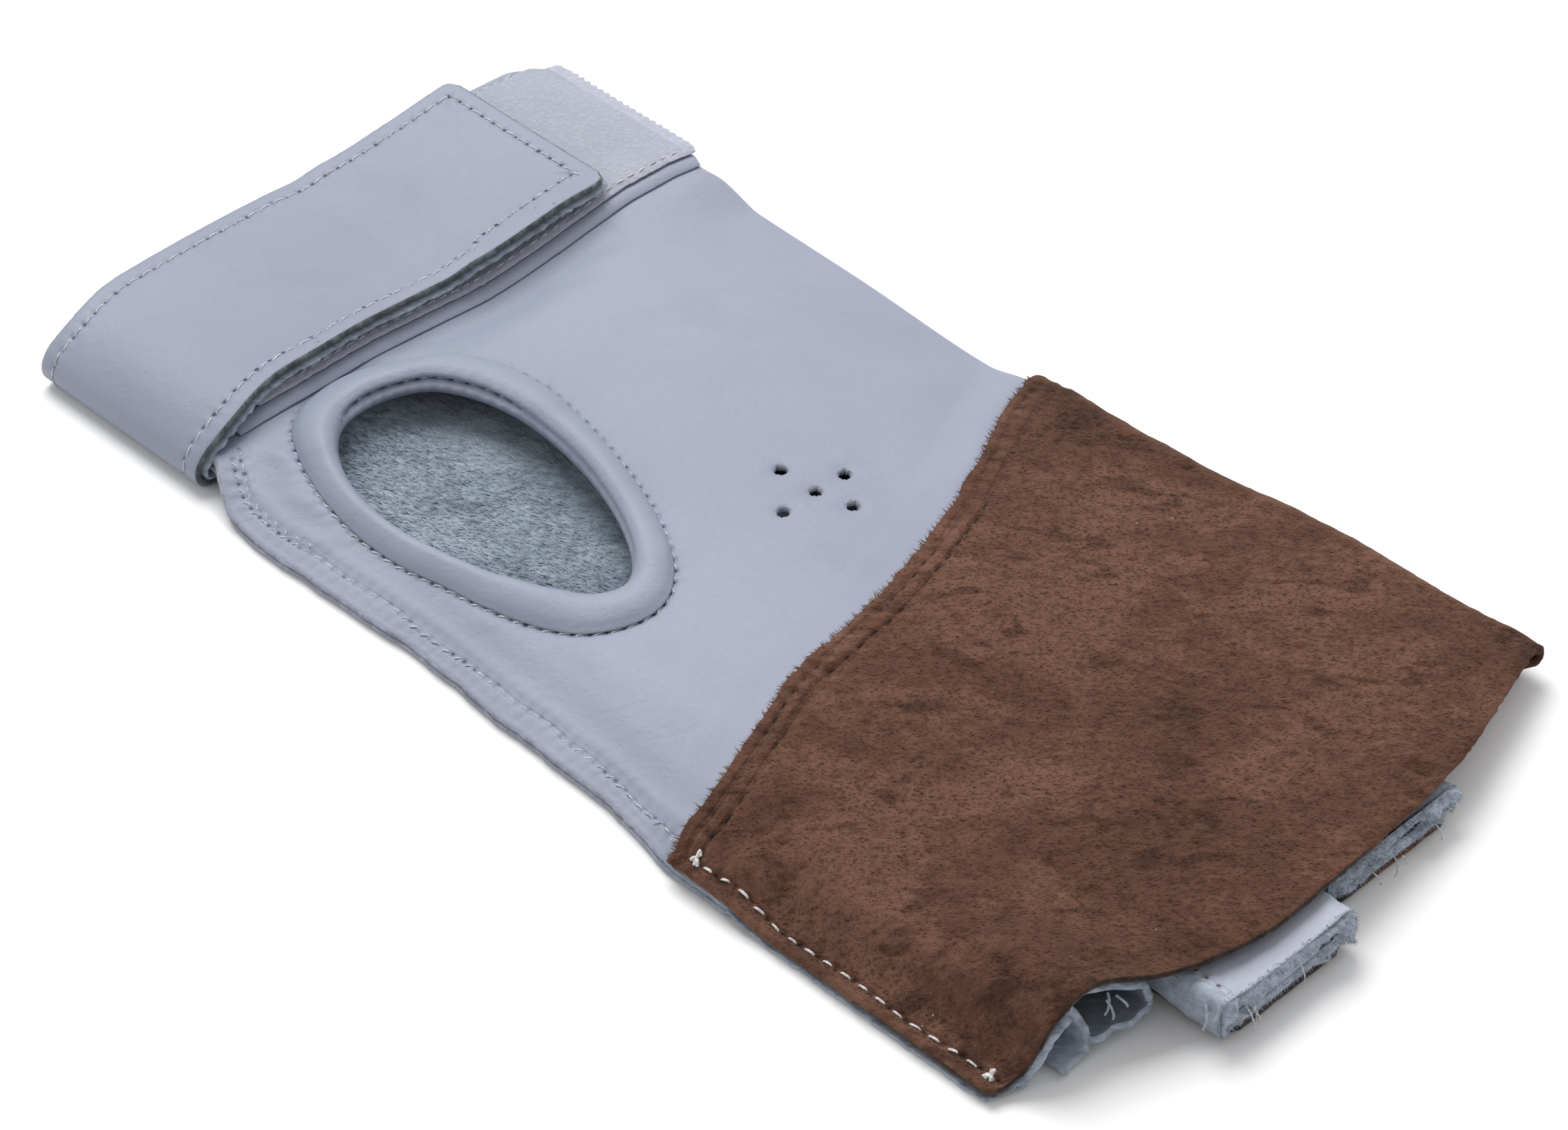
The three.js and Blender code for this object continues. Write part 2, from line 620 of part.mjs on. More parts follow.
// The index stall hangs under the flap, so its lobes follow the flap's underside
function indexStall() {
  const ends = fractions(6).map((t) => GLOVE_LENGTH * lerp(STALL_ROOT, INDEX_AT.tip, t));
  const sections = ends.map((x) => {
    const skin = INDEX_SKIN.map(({ across, rise }) => {
      const c = lerp(INDEX_AT.from, INDEX_AT.to, across);
      const ceiling = flapTop(x, c) - SUEDE - 2 * GAP;
      return new THREE.Vector3(x, yAt(x, c), SOLE_STACK + rise * (ceiling - SOLE_STACK));
    });
    const butt = skin[0].clone().setZ(SOLE_STACK + INDEX_HIDE + GAP);
    return [...skin, butt];
  });
  const wall = sections.map((section) => offsetSection(section, INDEX_HIDE));
  return slab(sections, wall);
}

function indexGusset() {
  const start = (c) => upperEdge(c) + OVERLAP + 1;
  const steps = [-0.004, 0.03, 0.065, 0.088];
  const layer = (lift) => fractions(8).map((t) => steps.map((c) => {
    const x = lerp(start(c), freeEdge(c) - GAP, t);
    return new THREE.Vector3(x, yAt(x, c), flapTop(x, c) - SUEDE - 2 * GAP - lift);
  }));
  return slab(layer(0), layer(GUSSET_HIDE));
}

const greyLeather = { color: 0xa9aec2, roughness: 0.6, metalness: 0 };
const roughLeather = { color: 0x8d99a3, roughness: 0.95, metalness: 0 };
const whiteTape = { color: 0xc9cbd4, roughness: 0.95, metalness: 0 };
const brownSuede = { color: 0x6f4b3d, roughness: 1, metalness: 0 };

const glove = new THREE.Group();
function add(name, geometry, finish) {
  geometry.computeVertexNormals();
  const mesh = new THREE.Mesh(geometry, new THREE.MeshStandardMaterial(finish));
  mesh.name = name;
  glove.add(mesh);
}

add('hand_wrap', handWrap(), greyLeather);
add('thumb_binding', thumbBinding(), greyLeather);
add('cuff_band', cuffBand(), greyLeather);
add('loop_tape', loopTape(), whiteTape);
add('wrist_strap', strapLayer(0, STRAP_HIDE), greyLeather);
add('strap_lining', strapLayer(STRAP_HIDE + GAP, LINING_THICKNESS), roughLeather);
add('hook_tape', hookTape(), whiteTape);
add('suede_cover', suedeCover(), brownSuede);
add('index_gusset', indexGusset(), roughLeather);
add('index_stall', indexStall(), roughLeather);
for (const finger of STALLS) {
  add(finger.name, stall(finger), roughLeather);
}

// The origin is the middle of the underside of the whole glove
const box = new THREE.Box3().setFromObject(glove);
const centre = box.getCenter(new THREE.Vector3());
for (const piece of glove.children) {
  piece.position.set(-centre.x, -centre.y, -box.min.z);
}

export default glove;
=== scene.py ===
"""Fingerless leather bowling glove lying flat, dressed for a studio picture.

Lengths are millimetres in the glove's own pattern: x from the cuff to the fingers, y from the sewn
edge to the folded edge, z up. A piece is turned into metres of the row frame when it is made.
"""
import functools
import itertools
import logging
import math
from dataclasses import dataclass, field
from enum import Enum
from typing import Sequence

import bpy
import numpy as np
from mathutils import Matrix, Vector


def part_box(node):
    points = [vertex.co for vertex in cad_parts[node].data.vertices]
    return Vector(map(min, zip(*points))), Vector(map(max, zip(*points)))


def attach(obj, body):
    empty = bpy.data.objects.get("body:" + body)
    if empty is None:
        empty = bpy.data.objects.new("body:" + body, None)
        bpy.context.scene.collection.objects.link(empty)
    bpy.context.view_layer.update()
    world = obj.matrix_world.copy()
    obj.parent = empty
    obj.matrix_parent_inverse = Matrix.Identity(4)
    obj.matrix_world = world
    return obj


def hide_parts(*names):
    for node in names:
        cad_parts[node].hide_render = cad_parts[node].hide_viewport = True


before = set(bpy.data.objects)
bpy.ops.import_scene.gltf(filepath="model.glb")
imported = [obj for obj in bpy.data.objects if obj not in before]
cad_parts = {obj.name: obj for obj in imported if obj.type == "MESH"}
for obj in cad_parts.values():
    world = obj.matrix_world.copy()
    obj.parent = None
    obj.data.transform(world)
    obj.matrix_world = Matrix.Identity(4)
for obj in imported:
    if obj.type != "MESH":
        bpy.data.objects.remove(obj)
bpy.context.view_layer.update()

Array = np.ndarray
Values = Array | float
Pair = tuple[float, float]
Triple = tuple[float, float, float]
Table = dict[str, tuple[float, ...]]
Piece = bpy.types.Object
Material = bpy.types.Material
Tree = bpy.types.NodeTree
Socket = bpy.types.NodeSocket
Input = Socket | float | tuple
log = logging.getLogger("glove")

MM = 0.001
FAR = 99.0

# Side lines as shares of the hand's width, by shares of the length from the cuff
OUTLINE: Table = {
    "at": (0.0, 0.184, 0.2, 0.228, 0.265, 0.349, 0.475, 0.559, 0.63, 0.685, 0.785, 0.88, 0.937, 1.03),
    "seam": (-0.436, -0.438, -0.455, -0.48, -0.488, -0.483, -0.493, -0.499, -0.519, -0.54, -0.539, -0.54,
             -0.54, -0.54),
    "fold": (0.503, 0.499, 0.504, 0.508, 0.505, 0.497, 0.48, 0.479, 0.486, 0.496, 0.522, 0.533,
             0.54, 0.538),
}
# Rise of the wrap's top panel across the hand, as shares of the room inside it
CROWN: Table = {
    "across": (0.0, 0.05, 0.1, 0.18, 0.3, 0.44, 0.56, 0.7, 0.79, 0.88, 0.95, 1.0),
    "wrist": (0.0, 0.01, 0.03, 0.05, 0.08, 0.0, -0.12, 0.04, 0.23, 0.38, 0.38, 0.28),
    "palm": (0.0, 0.1, 0.45, 0.77, 0.88, 0.94, 0.97, 0.9, 0.79, 0.6, 0.38, 0.21),
}
# Suede edges by the share across: raw upper edge and free finger edge, as shares of the length
SUEDE_EDGES: Table = {
    "across": (0.0, 0.07, 0.15, 0.2, 0.28, 0.38, 0.48, 0.6, 0.75, 0.88, 1.0),
    "upper": (0.678, 0.674, 0.665, 0.656, 0.641, 0.633, 0.625, 0.609, 0.58, 0.548, 0.523),
    "free": (0.951, 0.962, 0.964, 0.977, 0.991, 1.0, 0.998, 0.992, 0.981, 0.961, 0.942),
}
# Room between flap and sole, as shares of the room that the middle stall needs
FLAP_ROOM: Table = {
    "across": (0.0, 0.05, 0.09, 0.13, 0.17, 0.22, 0.27, 0.38, 0.5, 0.62, 0.74, 0.82, 0.9, 0.96, 1.0),
    "middle": (0.28, 0.62, 0.88, 1.0, 1.04, 1.06, 1.08, 1.08, 1.06, 1.02, 0.96, 0.88, 0.77, 0.68, 0.62),
    "free": (0.28, 0.72, 1.22, 1.46, 1.38, 1.18, 1.05, 1.0, 0.97, 0.91, 0.87, 0.73, 0.54, 0.26, 0.07),
}
# Crumpled index stall at its mouth: each curled sheet's outer side, from its top left over the top, down
# and back along the floor
NEAR_CURL: Table = {
    "step": (0, 1, 2, 3, 4, 5, 6, 7, 8, 9, 10),
    "y": (-57.5, -54.5, -51.5, -49.0, -46.9, -45.6, -44.9, -45.2, -46.6, -48.8, -51.3),
    "z": (6.9, 8.3, 9.6, 9.7, 8.6, 6.6, 4.2, 2.0, 0.5, 0.1, 0.1),
}
FAR_CURL: Table = {
    "step": (0, 1, 2, 3, 4, 5, 6, 7, 8, 9, 10),
    "y": (-49.6, -47.0, -44.0, -41.0, -37.8, -35.2, -33.8, -33.7, -35.6, -40.0, -45.6),
    "z": (8.6, 9.9, 10.0, 9.3, 8.2, 7.2, 5.6, 3.4, 1.9, 1.8, 1.9),
}
# Sole tabs: where each starts and ends across, and its tip along the length
SOLE_TABS: Table = {
    "start": (0.036, 0.252, 0.492, 0.741),
    "end": (0.238, 0.482, 0.739, 1.0),
    "tip": (0.905, 1.016, 0.9885, 0.94),
}


class Slot(Enum):
    """Material slots of the record."""

    GREY = "grey_leather"
    ROUGH = "rough_leather"
    TAPE = "fastening_tape"
    SUEDE = "brown_suede"


def lerp(a: Values, b: Values, t: Values) -> Values:
    """Returns the value at share t of the way from a to b."""
    return a + (b - a) * t


def fade(x: Values, start: Values, end: Values) -> Array:
    """Returns 0 before start, 1 after end, and a smooth step between them."""
    t = np.clip((np.asarray(x, float) - start) / (end - start), 0, 1)
    return t * t * (3 - 2 * t)


def bump(x: Values, centre: Values, width: float) -> Array:
    """Returns a bell of height 1 at centre that is near 0 past twice its width."""
    return np.exp(-(((np.asarray(x, float) - centre) / width) ** 2))


def column(table: Table, by: str, key: str, t: Values) -> Array:
    """Reads a table's column with a monotone cubic, held flat past its ends.

    Args:
        table: the table.
        by: name of the column that t is measured in.
        key: name of the column to read.
        t: where to read it.

    Returns:
        The column's value at each t.
    """
    at, value = np.asarray(table[by], float), np.asarray(table[key], float)
    t = np.clip(np.asarray(t, float), at[0], at[-1])
    step = np.diff(at)
    slope = np.diff(value) / step
    before, after = slope[:-1], slope[1:]
    total = np.where(before * after > 0, before + after, 1)
    inner = np.where(before * after > 0, 2 * before * after / total, 0)
    tangent = np.concatenate([slope[:1], inner, slope[-1:]])
    i = np.clip(np.searchsorted(at, t, side="right") - 1, 0, len(step) - 1)
    u = (t - at[i]) / step[i]
    keep = (2 * u - 3) * u * u + 1
    bend = step[i] * u * (1 - u) * ((1 - u) * tangent[i] - u * tangent[i + 1])
    return keep * value[i] + (1 - keep) * value[i + 1] + bend


# Numbers that scramble a cell's place and a seed into a random value
SCRAMBLE_CELL = (73856093, 19349663, 83492791)
SCRAMBLE_SEED, SCRAMBLE_CODE, LOW_BITS, HALF_RANGE = 2654435761, 1274126177, 0xFFFFFFFF, 32767.5


def lumps(points: Array, size: float, seed: int) -> Array:
    """Smooth random relief.

    Args:
        points: places, as (..., 3).
        size: width of a lump.
        seed: which relief.

    Returns:
        A value between -1 and 1 at each place.
    """
    cell = points / size
    low = np.floor(cell).astype(np.int64)
    part = cell - low
    part = part * part * (3 - 2 * part)
    total = np.zeros(points.shape[:-1])
    for corner in itertools.product((0, 1), repeat=3):
        key = (low + corner) * SCRAMBLE_CELL
        code = (key[..., 0] ^ key[..., 1] ^ key[..., 2] ^ (seed * SCRAMBLE_SEED)) & LOW_BITS
        code = ((code ^ (code >> 13)) * SCRAMBLE_CODE) & LOW_BITS
        value = ((code ^ (code >> 16)) & 0xFFFF) / HALF_RANGE - 1
        weight = np.where(corner, part, 1 - part).prod(axis=-1)
        total += value * weight
    return total


def even(start: float, end: float, pitch: float) -> Array:
    """Returns evenly spaced stations from start to end, no further apart than pitch."""
    return np.linspace(start, end, max(1, math.ceil(abs(end - start) / pitch - 1e-6)) + 1)


def turns(count: int) -> Array:
    """Returns so many even turns of a circle, from 0."""
    return np.arange(count) / count * 2 * math.pi


def stations(*runs: Array) -> Array:
    """Returns the stations of several runs as one run without repeats."""
    return np.unique(np.concatenate(runs).round(6))


def surface(x: Array, y: Array, z: Array) -> Array:
    """Returns points from their three coordinates, spread to one shape."""
    return np.stack(np.broadcast_arrays(x, y, z), axis=-1).astype(float)


def waves(x: Array, size: float, seed: int) -> Array:
    """Returns smooth random relief along a line."""
    return lumps(surface(x, 0, 0), size, seed)


def grid_quads(rows: int, cols: int) -> Array:
    """Returns the faces of a grid of points."""
    ids = np.arange(rows * cols).reshape(rows, cols)
    return np.stack([ids[:-1, :-1], ids[1:, :-1], ids[1:, 1:], ids[:-1, 1:]], axis=-1).reshape(-1, 4)


def grid_normals(points: Array) -> Array:
    """Returns the unit normals of a grid of points, row direction times column direction."""
    normal = np.cross(np.gradient(points, axis=0), np.gradient(points, axis=1))
    return normal / np.maximum(np.linalg.norm(normal, axis=-1, keepdims=True), 1e-9)


@dataclass(frozen=True)
class Pattern:
    """The glove's pattern: its driving sizes in millimetres and the surfaces that they give."""

    length: float = 238.0
    hand_width: float = 116.0
    room: float = 6.2
    gap: float = 0.3
    hide: float = 1.4
    suede: float = 1.6
    band_hide: float = 0.9
    loop: float = 0.8
    hook: float = 0.7
    strap_hide: float = 1.2
    lining: float = 0.9
    strap_width: float = 40.0
    cuff_margin: float = 1.0
    band_width: float = 42.0
    loop_width: float = 36.5
    strap_clearance: float = 1.2
    strap_end: float = 0.834
    strap_root: float = 0.39
    hook_start: float = 0.57
    strap_skew: float = 3.0
    cuff_fade: float = 13.0
    cuff_corner: float = 3.0
    thumb_length: float = 64.0
    thumb_width: float = 30.4
    thumb_taper: float = 0.25
    thumb_tilt: float = -0.06
    thumb_along: float = 0.353
    thumb_across: float = -0.233
    overlap: float = 12.0
    sole_fade: float = 11.0
    sole_lead: float = 1.0
    stall_height: float = 6.0
    flap_fade: float = 26.0
    slot_width: float = 2.6
    slot_root: float = 0.87
    stall_root: float = 0.78
    press_width: float = 5.5
    press: float = 1.45
    pressed_flap: float = 2.1

    @property
    def strap_stack(self) -> float:
        """Strap leather and lining with their gaps."""
        return self.strap_hide + self.lining + 2 * self.gap

    @property
    def sole_stack(self) -> float:
        """Suede sole with its gap."""
        return self.suede + self.gap

    @property
    def edge_stack(self) -> float:
        """Both panels where they are sewn together."""
        return 2 * self.hide + self.gap

    @property
    def tape_stack(self) -> float:
        """Cuff band and loop tape with their gaps."""
        return self.band_hide + self.loop + 2 * self.gap

    @property
    def cuff_end(self) -> float:
        """Where the wrap starts to settle from the strap to the surface."""
        return max(self.band_width, self.strap_width + self.strap_skew) + self.cuff_margin

    def seam_y(self, x: Values) -> Array:
        """Sewn side line."""
        return self.hand_width * column(OUTLINE, "at", "seam", np.asarray(x) / self.length)

    def fold_y(self, x: Values) -> Array:
        """Folded side line, at the fold's centre."""
        return self.hand_width * column(OUTLINE, "at", "fold", np.asarray(x) / self.length)

    def y_at(self, x: Values, across: Values) -> Array:
        """Place across the hand from a share between the side lines."""
        return lerp(self.seam_y(x), self.fold_y(x), across)

    def across_at(self, x: Array, y: Array) -> Array:
        """Share between the side lines from a place across the hand."""
        return (y - self.seam_y(x)) / (self.fold_y(x) - self.seam_y(x))

    def upper_edge(self, across: Values) -> Array:
        """Suede's raw upper edge."""
        return self.length * column(SUEDE_EDGES, "across", "upper", across)

    def free_edge(self, across: Values) -> Array:
        """Suede flap's free edge."""
        return self.length * column(SUEDE_EDGES, "across", "free", across)

    def settled(self, x: Values) -> Array:
        """Share by which the wrap has come down from the strap's root."""
        return fade(x, self.cuff_end, self.cuff_end + self.cuff_fade)

    def skew(self, across: Values) -> Array:
        """How far the strap's bend leans towards the fingers."""
        return self.strap_skew * (1 - fade(across, 0, 0.16))

    def on_sole(self, x: Array, across: Array) -> Array:
        """Share by which the wrap has climbed onto the sole."""
        edge = self.upper_edge(across)
        return fade(x, edge - self.sole_fade, edge - self.sole_lead) * fade(across, 0.0, 0.045)

    def pressed(self, x: Array, across: Array) -> Array:
        """Share by which the layers are pressed down at the sewn edge."""
        return fade(x, 45, 53) * (1 - fade(across * self.hand_width, 0, self.press_width))

    def cuff_edge(self, across: Values) -> Array:
        """Cuff's edge with its round corner at the fold."""
        corner = np.maximum(0, 1 - (1 - np.asarray(across)) / 0.06)
        return self.cuff_corner * corner**2 + self.skew(across)

    def wrap_under(self, x: Array, across: Array) -> Array:
        """Underside of the wrap's lower panel."""
        root = 1 - fade(across, self.strap_root, self.strap_root + 0.08)
        lifted = self.strap_stack * (1 - self.settled(x)) * root
        return lifted + self.sole_stack * self.on_sole(x, across)

    def wrap_top(self, x: Array, across: Array) -> Array:
        """Top of the wrap's upper panel."""
        wrist = self.strap_stack + self.edge_stack + self.room * column(CROWN, "across", "wrist", across)
        palm = self.edge_stack + self.room * column(CROWN, "across", "palm", across)
        return lerp(wrist, palm, self.settled(x)) + self.sole_stack * self.on_sole(x, across)

    def flap_top(self, x: Array, across: Array) -> Array:
        """Top of the suede flap, over the hide's end and then over the stalls.

        Args:
            x: place along the hand.
            across: share across the hand.

        Returns:
            Its height.
        """
        start = self.upper_edge(across) + self.overlap
        end = self.free_edge(across)
        middle = column(FLAP_ROOM, "across", "middle", across)
        free = column(FLAP_ROOM, "across", "free", across)
        room = lerp(middle, free, fade(x, lerp(start, end, 0.4), end))
        loose = 2 * self.suede + (self.stall_height + 2 * self.gap) * room
        lapped = self.wrap_top(x, across) + self.gap + self.suede
        top = lerp(lapped, loose, fade(x, start, start + self.flap_fade))
        sewn = top - self.press * self.pressed(x, across)
        inside = across * self.hand_width
        shut = lerp(top, self.pressed_flap, 1 - fade(inside, 1.5, 9.0))
        return lerp(sewn, shut, fade(x, start - 1, start + 10))

    def strap_top(self, x: Array, across: Array) -> Array:
        """Top of the strap over the tapes."""
        tapes = self.tape_stack * fade(across, 0.01, 0.05)
        hook = (self.hook + self.gap) * fade(across, self.hook_start - 0.08, self.hook_start - 0.01)
        return self.wrap_top(x, across) + tapes + hook + self.strap_stack

    def thumb_point(self, turn: Array, out: Values) -> Array:
        """Point of the egg-shaped thumb opening.

        Args:
            turn: turns round the opening.
            out: how far it is moved outwards.

        Returns:
            The places along and across, as (..., 2).
        """
        taper = self.thumb_taper

        def egg(t: Array) -> Array:
            """Returns the opening's points before it is tilted."""
            side = self.thumb_width / 2 * np.sin(t) * (1 - taper * np.cos(t))
            return np.stack([self.thumb_length / 2 * np.cos(t), side], axis=-1)

        tangent = egg(turn + 0.001) - egg(turn - 0.001)
        tangent /= np.linalg.norm(tangent, axis=-1, keepdims=True)
        side = np.stack([tangent[..., 1], -tangent[..., 0]], axis=-1)
        point = egg(turn) + side * np.asarray(out)[..., None]
        c, s = math.cos(self.thumb_tilt), math.sin(self.thumb_tilt)
        turned = point @ np.array([[c, s], [-s, c]])
        return turned + (self.thumb_along * self.length, self.thumb_across * self.hand_width)


PATTERN = Pattern()
# Millimetres from side line to side line, for spacings
ACROSS = 113.0
CUFF_CORNER_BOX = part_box("hand_wrap")[0] / MM
ORIGIN = np.array([
    CUFF_CORNER_BOX.x,
    CUFF_CORNER_BOX.y - PATTERN.hand_width * min(OUTLINE["seam"]),
    0.0,
])


# Bodies


def linked(name: str, data: bpy.types.ID) -> Piece:
    """Returns a new object in the scene."""
    made = bpy.data.objects.new(name, data)
    bpy.context.scene.collection.objects.link(made)
    return made


def dress(made: Piece, nodes: Sequence[str] = ()) -> Piece:
    """Gives a piece its body and hides the nodes that it stands for.

    Args:
        made: the piece.
        nodes: the CAD nodes that it replaces.

    Returns:
        The piece.
    """
    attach(made, "root")
    if nodes:
        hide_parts(*nodes)
    log.info("%s: %d faces", made.name, len(made.data.polygons))
    return made


@dataclass
class Body:
    """A closed mesh in pattern millimetres.

    Attributes:
        points: corner points.
        quads: faces with four corners.
        skins: material index of each face.
        seams: for each row of stitches, (phase, distance) at each point.
        turns: for each row, how many stitches a closed row has, or 0.
    """

    points: Array
    quads: Array
    skins: Array
    seams: dict[str, Array] = field(default_factory=dict)
    turns: dict[str, int] = field(default_factory=dict)

    def to_object(self, name: str, materials: Sequence[Material]) -> Piece:
        """Makes the Blender object.

        Args:
            name: the piece's name.
            materials: one for each material index.

        Returns:
            The object, at the origin, in metres of the row frame.
        """
        mesh = bpy.data.meshes.new(name)
        mesh.vertices.add(len(self.points))
        mesh.vertices.foreach_set("co", ((self.points + ORIGIN) * MM).astype(np.float32).ravel())
        mesh.loops.add(self.quads.size)
        mesh.loops.foreach_set("vertex_index", self.quads.astype(np.int32).ravel())
        mesh.polygons.add(len(self.quads))
        mesh.polygons.foreach_set("loop_start", np.arange(0, self.quads.size, 4, dtype=np.int32))
        mesh.polygons.foreach_set("material_index", self.skins.astype(np.int32))
        mesh.polygons.foreach_set("use_smooth", np.ones(len(self.quads), bool))
        for material in materials:
            mesh.materials.append(material)
        for key, values in self.seams.items():
            corners = values[self.quads].copy()
            turn = self.turns.get(key, 0)
            if turn:
                phase = corners[..., 0]
                wraps = (phase.max(axis=1) - phase.min(axis=1)) > turn / 2
                phase[wraps] += np.where(phase[wraps] < turn / 2, turn, 0)
            layer = mesh.uv_layers.new(name=key)
            layer.data.foreach_set("uv", corners.astype(np.float32).ravel())
        mesh.update(calc_edges=True)
        mesh.validate()
        return linked(name, mesh)

    def piece(self, name: str, slot: Slot, materials: Sequence[Material], *nodes: str) -> Piece:
        """Returns the dressed object, which replaces these nodes."""
        return dress(self.to_object(name, materials), nodes)


def plain_body(points: Array, quads: Array) -> Body:
    """Returns a body of one material."""
    return Body(points, quads, np.zeros(len(quads), int))


@dataclass(frozen=True)
class Rim:
    """How a cut edge looks: its layers between the two skins, how far it swells and how ragged it is."""

    steps: int = 3
    swell: float = 0.3
    ragged: float = 0.0
    size: float = 0.8
    seed: int = 1


def shell(skin: Array, thickness: Values, rim: Rim = Rim(), keep: Array | None = None,
          normals: Array | None = None) -> Body:
    """Gives a grid of points a wall and closes it at every edge, holes too.

    Args:
        skin: outer points, rows by columns by 3, whose rows times columns face outwards.
        thickness: wall, as one value or one for each point.
        rim: how the edges are finished.
        keep: which faces of the grid are there, or None for all.
        normals: unit normals, or None to work them out.

    Returns:
        The closed body. Its material indices are 0 outside, 1 inside and 2 at the edges.
    """
    rows, cols = skin.shape[:2]
    normal = grid_normals(skin) if normals is None else normals
    inner = skin - normal * np.broadcast_to(np.asarray(thickness, float), (rows, cols))[..., None]
    quads = grid_quads(rows, cols)
    if keep is not None:
        quads = quads[keep.ravel()]
    count = rows * cols
    start = quads.ravel()
    end = np.roll(quads, -1, axis=1).ravel()
    twin = np.isin(start * count + end, end * count + start)
    start, end = start[~twin], end[~twin]
    outer_points, inner_points = skin.reshape(-1, 3), inner.reshape(-1, 3)
    flat_normal = normal.reshape(-1, 3)
    away = np.zeros((count, 3))
    side = np.cross(outer_points[end] - outer_points[start], flat_normal[start])
    side /= np.maximum(np.linalg.norm(side, axis=1, keepdims=True), 1e-9)
    np.add.at(away, start, side)
    np.add.at(away, end, side)
    edge = np.unique(np.concatenate([start, end]))
    away[edge] /= np.maximum(np.linalg.norm(away[edge], axis=1, keepdims=True), 1e-9)
    wall = np.linalg.norm(inner_points[edge] - outer_points[edge], axis=1, keepdims=True)
    place = np.full(count, -1)
    place[edge] = np.arange(len(edge))
    layers = [outer_points, inner_points]
    loops = [np.arange(count)]
    for k in range(1, rim.steps + 1):
        share = k / (rim.steps + 1)
        layer = lerp(outer_points[edge], inner_points[edge], share)
        layer = layer + away[edge] * wall * rim.swell * math.sin(math.pi * share) ** 0.6
        if rim.ragged:
            rough = lumps(layer, rim.size, rim.seed) + 0.6 * lumps(layer, rim.size / 2.3, rim.seed + 1)
            layer = layer + away[edge] * rim.ragged * rough[:, None]
        loops.append(2 * count + (k - 1) * len(edge) + place)
        layers.append(layer)
    loops.append(count + np.arange(count))
    faces = [quads, quads[:, ::-1] + count]
    skins = [np.zeros(len(quads), int), np.ones(len(quads), int)]
    for near, far in zip(loops, loops[1:]):
        faces.append(np.stack([near[end], near[start], far[start], far[end]], axis=1))
        skins.append(np.full(len(start), 2))
    used, index = np.unique(np.concatenate(faces), return_inverse=True)
    return Body(np.concatenate(layers)[used], index.reshape(-1, 4), np.concatenate(skins))


@dataclass
class Route:
    """A line of stitches: a dense path with the surface's direction at each point."""

    points: Array
    up: Array
    pitch: float

    def __post_init__(self) -> None:
        """Measures the path."""
        steps = np.linalg.norm(np.diff(self.points, axis=0), axis=1)
        self.at = np.concatenate([[0], np.cumsum(steps)])
        self.length = float(self.at[-1])
        self.count = max(2, round(self.length / self.pitch))

    def cut(self, start: float, end: float) -> tuple[Array, Array]:
        """Cuts a piece out of the route.

        Args:
            start: length from the route's start where the piece starts.
            end: length where it ends.

        Returns:
            Its points and their directions.
        """
        at = even(start, end, 0.4)
        both = np.concatenate([self.points, self.up], axis=1)
        pick = np.stack([np.interp(at, self.at, line) for line in both.T], axis=1)
        return pick[:, :3], pick[:, 3:]

    def coordinates(self, points: Array, reach: float = 4.0) -> Array:
        """Phase in stitches and distance from the row.

        Args:
            points: places, as (N, 3).
            reach: past this distance a place counts as far.

        Returns:
            (phase, distance) at each place.
        """
        result = np.full((len(points), 2), FAR)
        result[:, 0] = 0
        low, high = self.points.min(axis=0) - reach, self.points.max(axis=0) + reach
        close = np.flatnonzero(((points > low) & (points < high)).all(axis=1))
        thin = slice(None, None, 2)
        a, b = self.points[thin][:-1], self.points[thin][1:]
        step = b - a
        size = np.maximum((step**2).sum(axis=1), 1e-9)
        at = self.at[thin][:-1]
        run = np.sqrt(size)
        for part in np.array_split(close, max(1, len(close) // 4000)):
            offset = points[part][:, None] - a
            share = np.clip((offset * step).sum(axis=2) / size, 0, 1)
            miss = np.linalg.norm(offset - share[..., None] * step, axis=2)
            best = miss.argmin(axis=1)
            pick = np.arange(len(part)), best
            result[part, 0] = (at[best] + share[pick] * run[best]) / self.length * self.count
            result[part, 1] = np.where(miss[pick] < reach, miss[pick], FAR)
        return result


def route(points: Array, pitch: float, up: Values = 0.0) -> Route:
    """Returns a route with dense points, whose directions point up where none are given."""
    return Route(points, np.broadcast_to((0.0, 0.0, 1.0), points.shape) if np.ndim(up) == 0 else up, pitch)


# Finishes

# A needle hole and its dimple end between these shares of the hole's size, with these depths in millimetres
HOLE, HOLE_DEPTH = (0.55, 1.25), 0.3
DIMPLE, DIMPLE_DEPTH = (0.7, 2.6), 0.16
PUCKERS = (0.2, 3.4)


@dataclass(frozen=True)
class Row:
    """A row of needle holes in a material.

    Attributes:
        uv: name of the seam coordinates.
        pitch: length of a stitch in millimetres.
        hole: half length and half width of a hole in millimetres.
        dark: how dark the holes are painted, which is painted shade in each hole.
        channel: depth and half width of the valley that the row lies in, in millimetres.
        gather: height of the puckers between the holes in millimetres.
    """

    uv: str
    pitch: float
    hole: Pair
    dark: float
    channel: Pair
    gather: float = 0.0


class Wiring:
    """A node tree while it is wired."""

    def __init__(self, tree: Tree) -> None:
        """Keeps the tree."""
        self.tree = tree

    def add(self, kind: str, inputs: dict[str | int, object] | None = None,
            **settings: object) -> bpy.types.Node:
        """Adds a node.

        Args:
            kind: the node's type.
            inputs: value or socket for each input.
            **settings: properties of the node.

        Returns:
            The node.
        """
        node = self.tree.nodes.new(kind)
        for key, value in settings.items():
            setattr(node, key, value)
        for key, value in (inputs or {}).items():
            if isinstance(value, Socket):
                self.tree.links.new(value, node.inputs[key])
            else:
                node.inputs[key].default_value = value
        return node


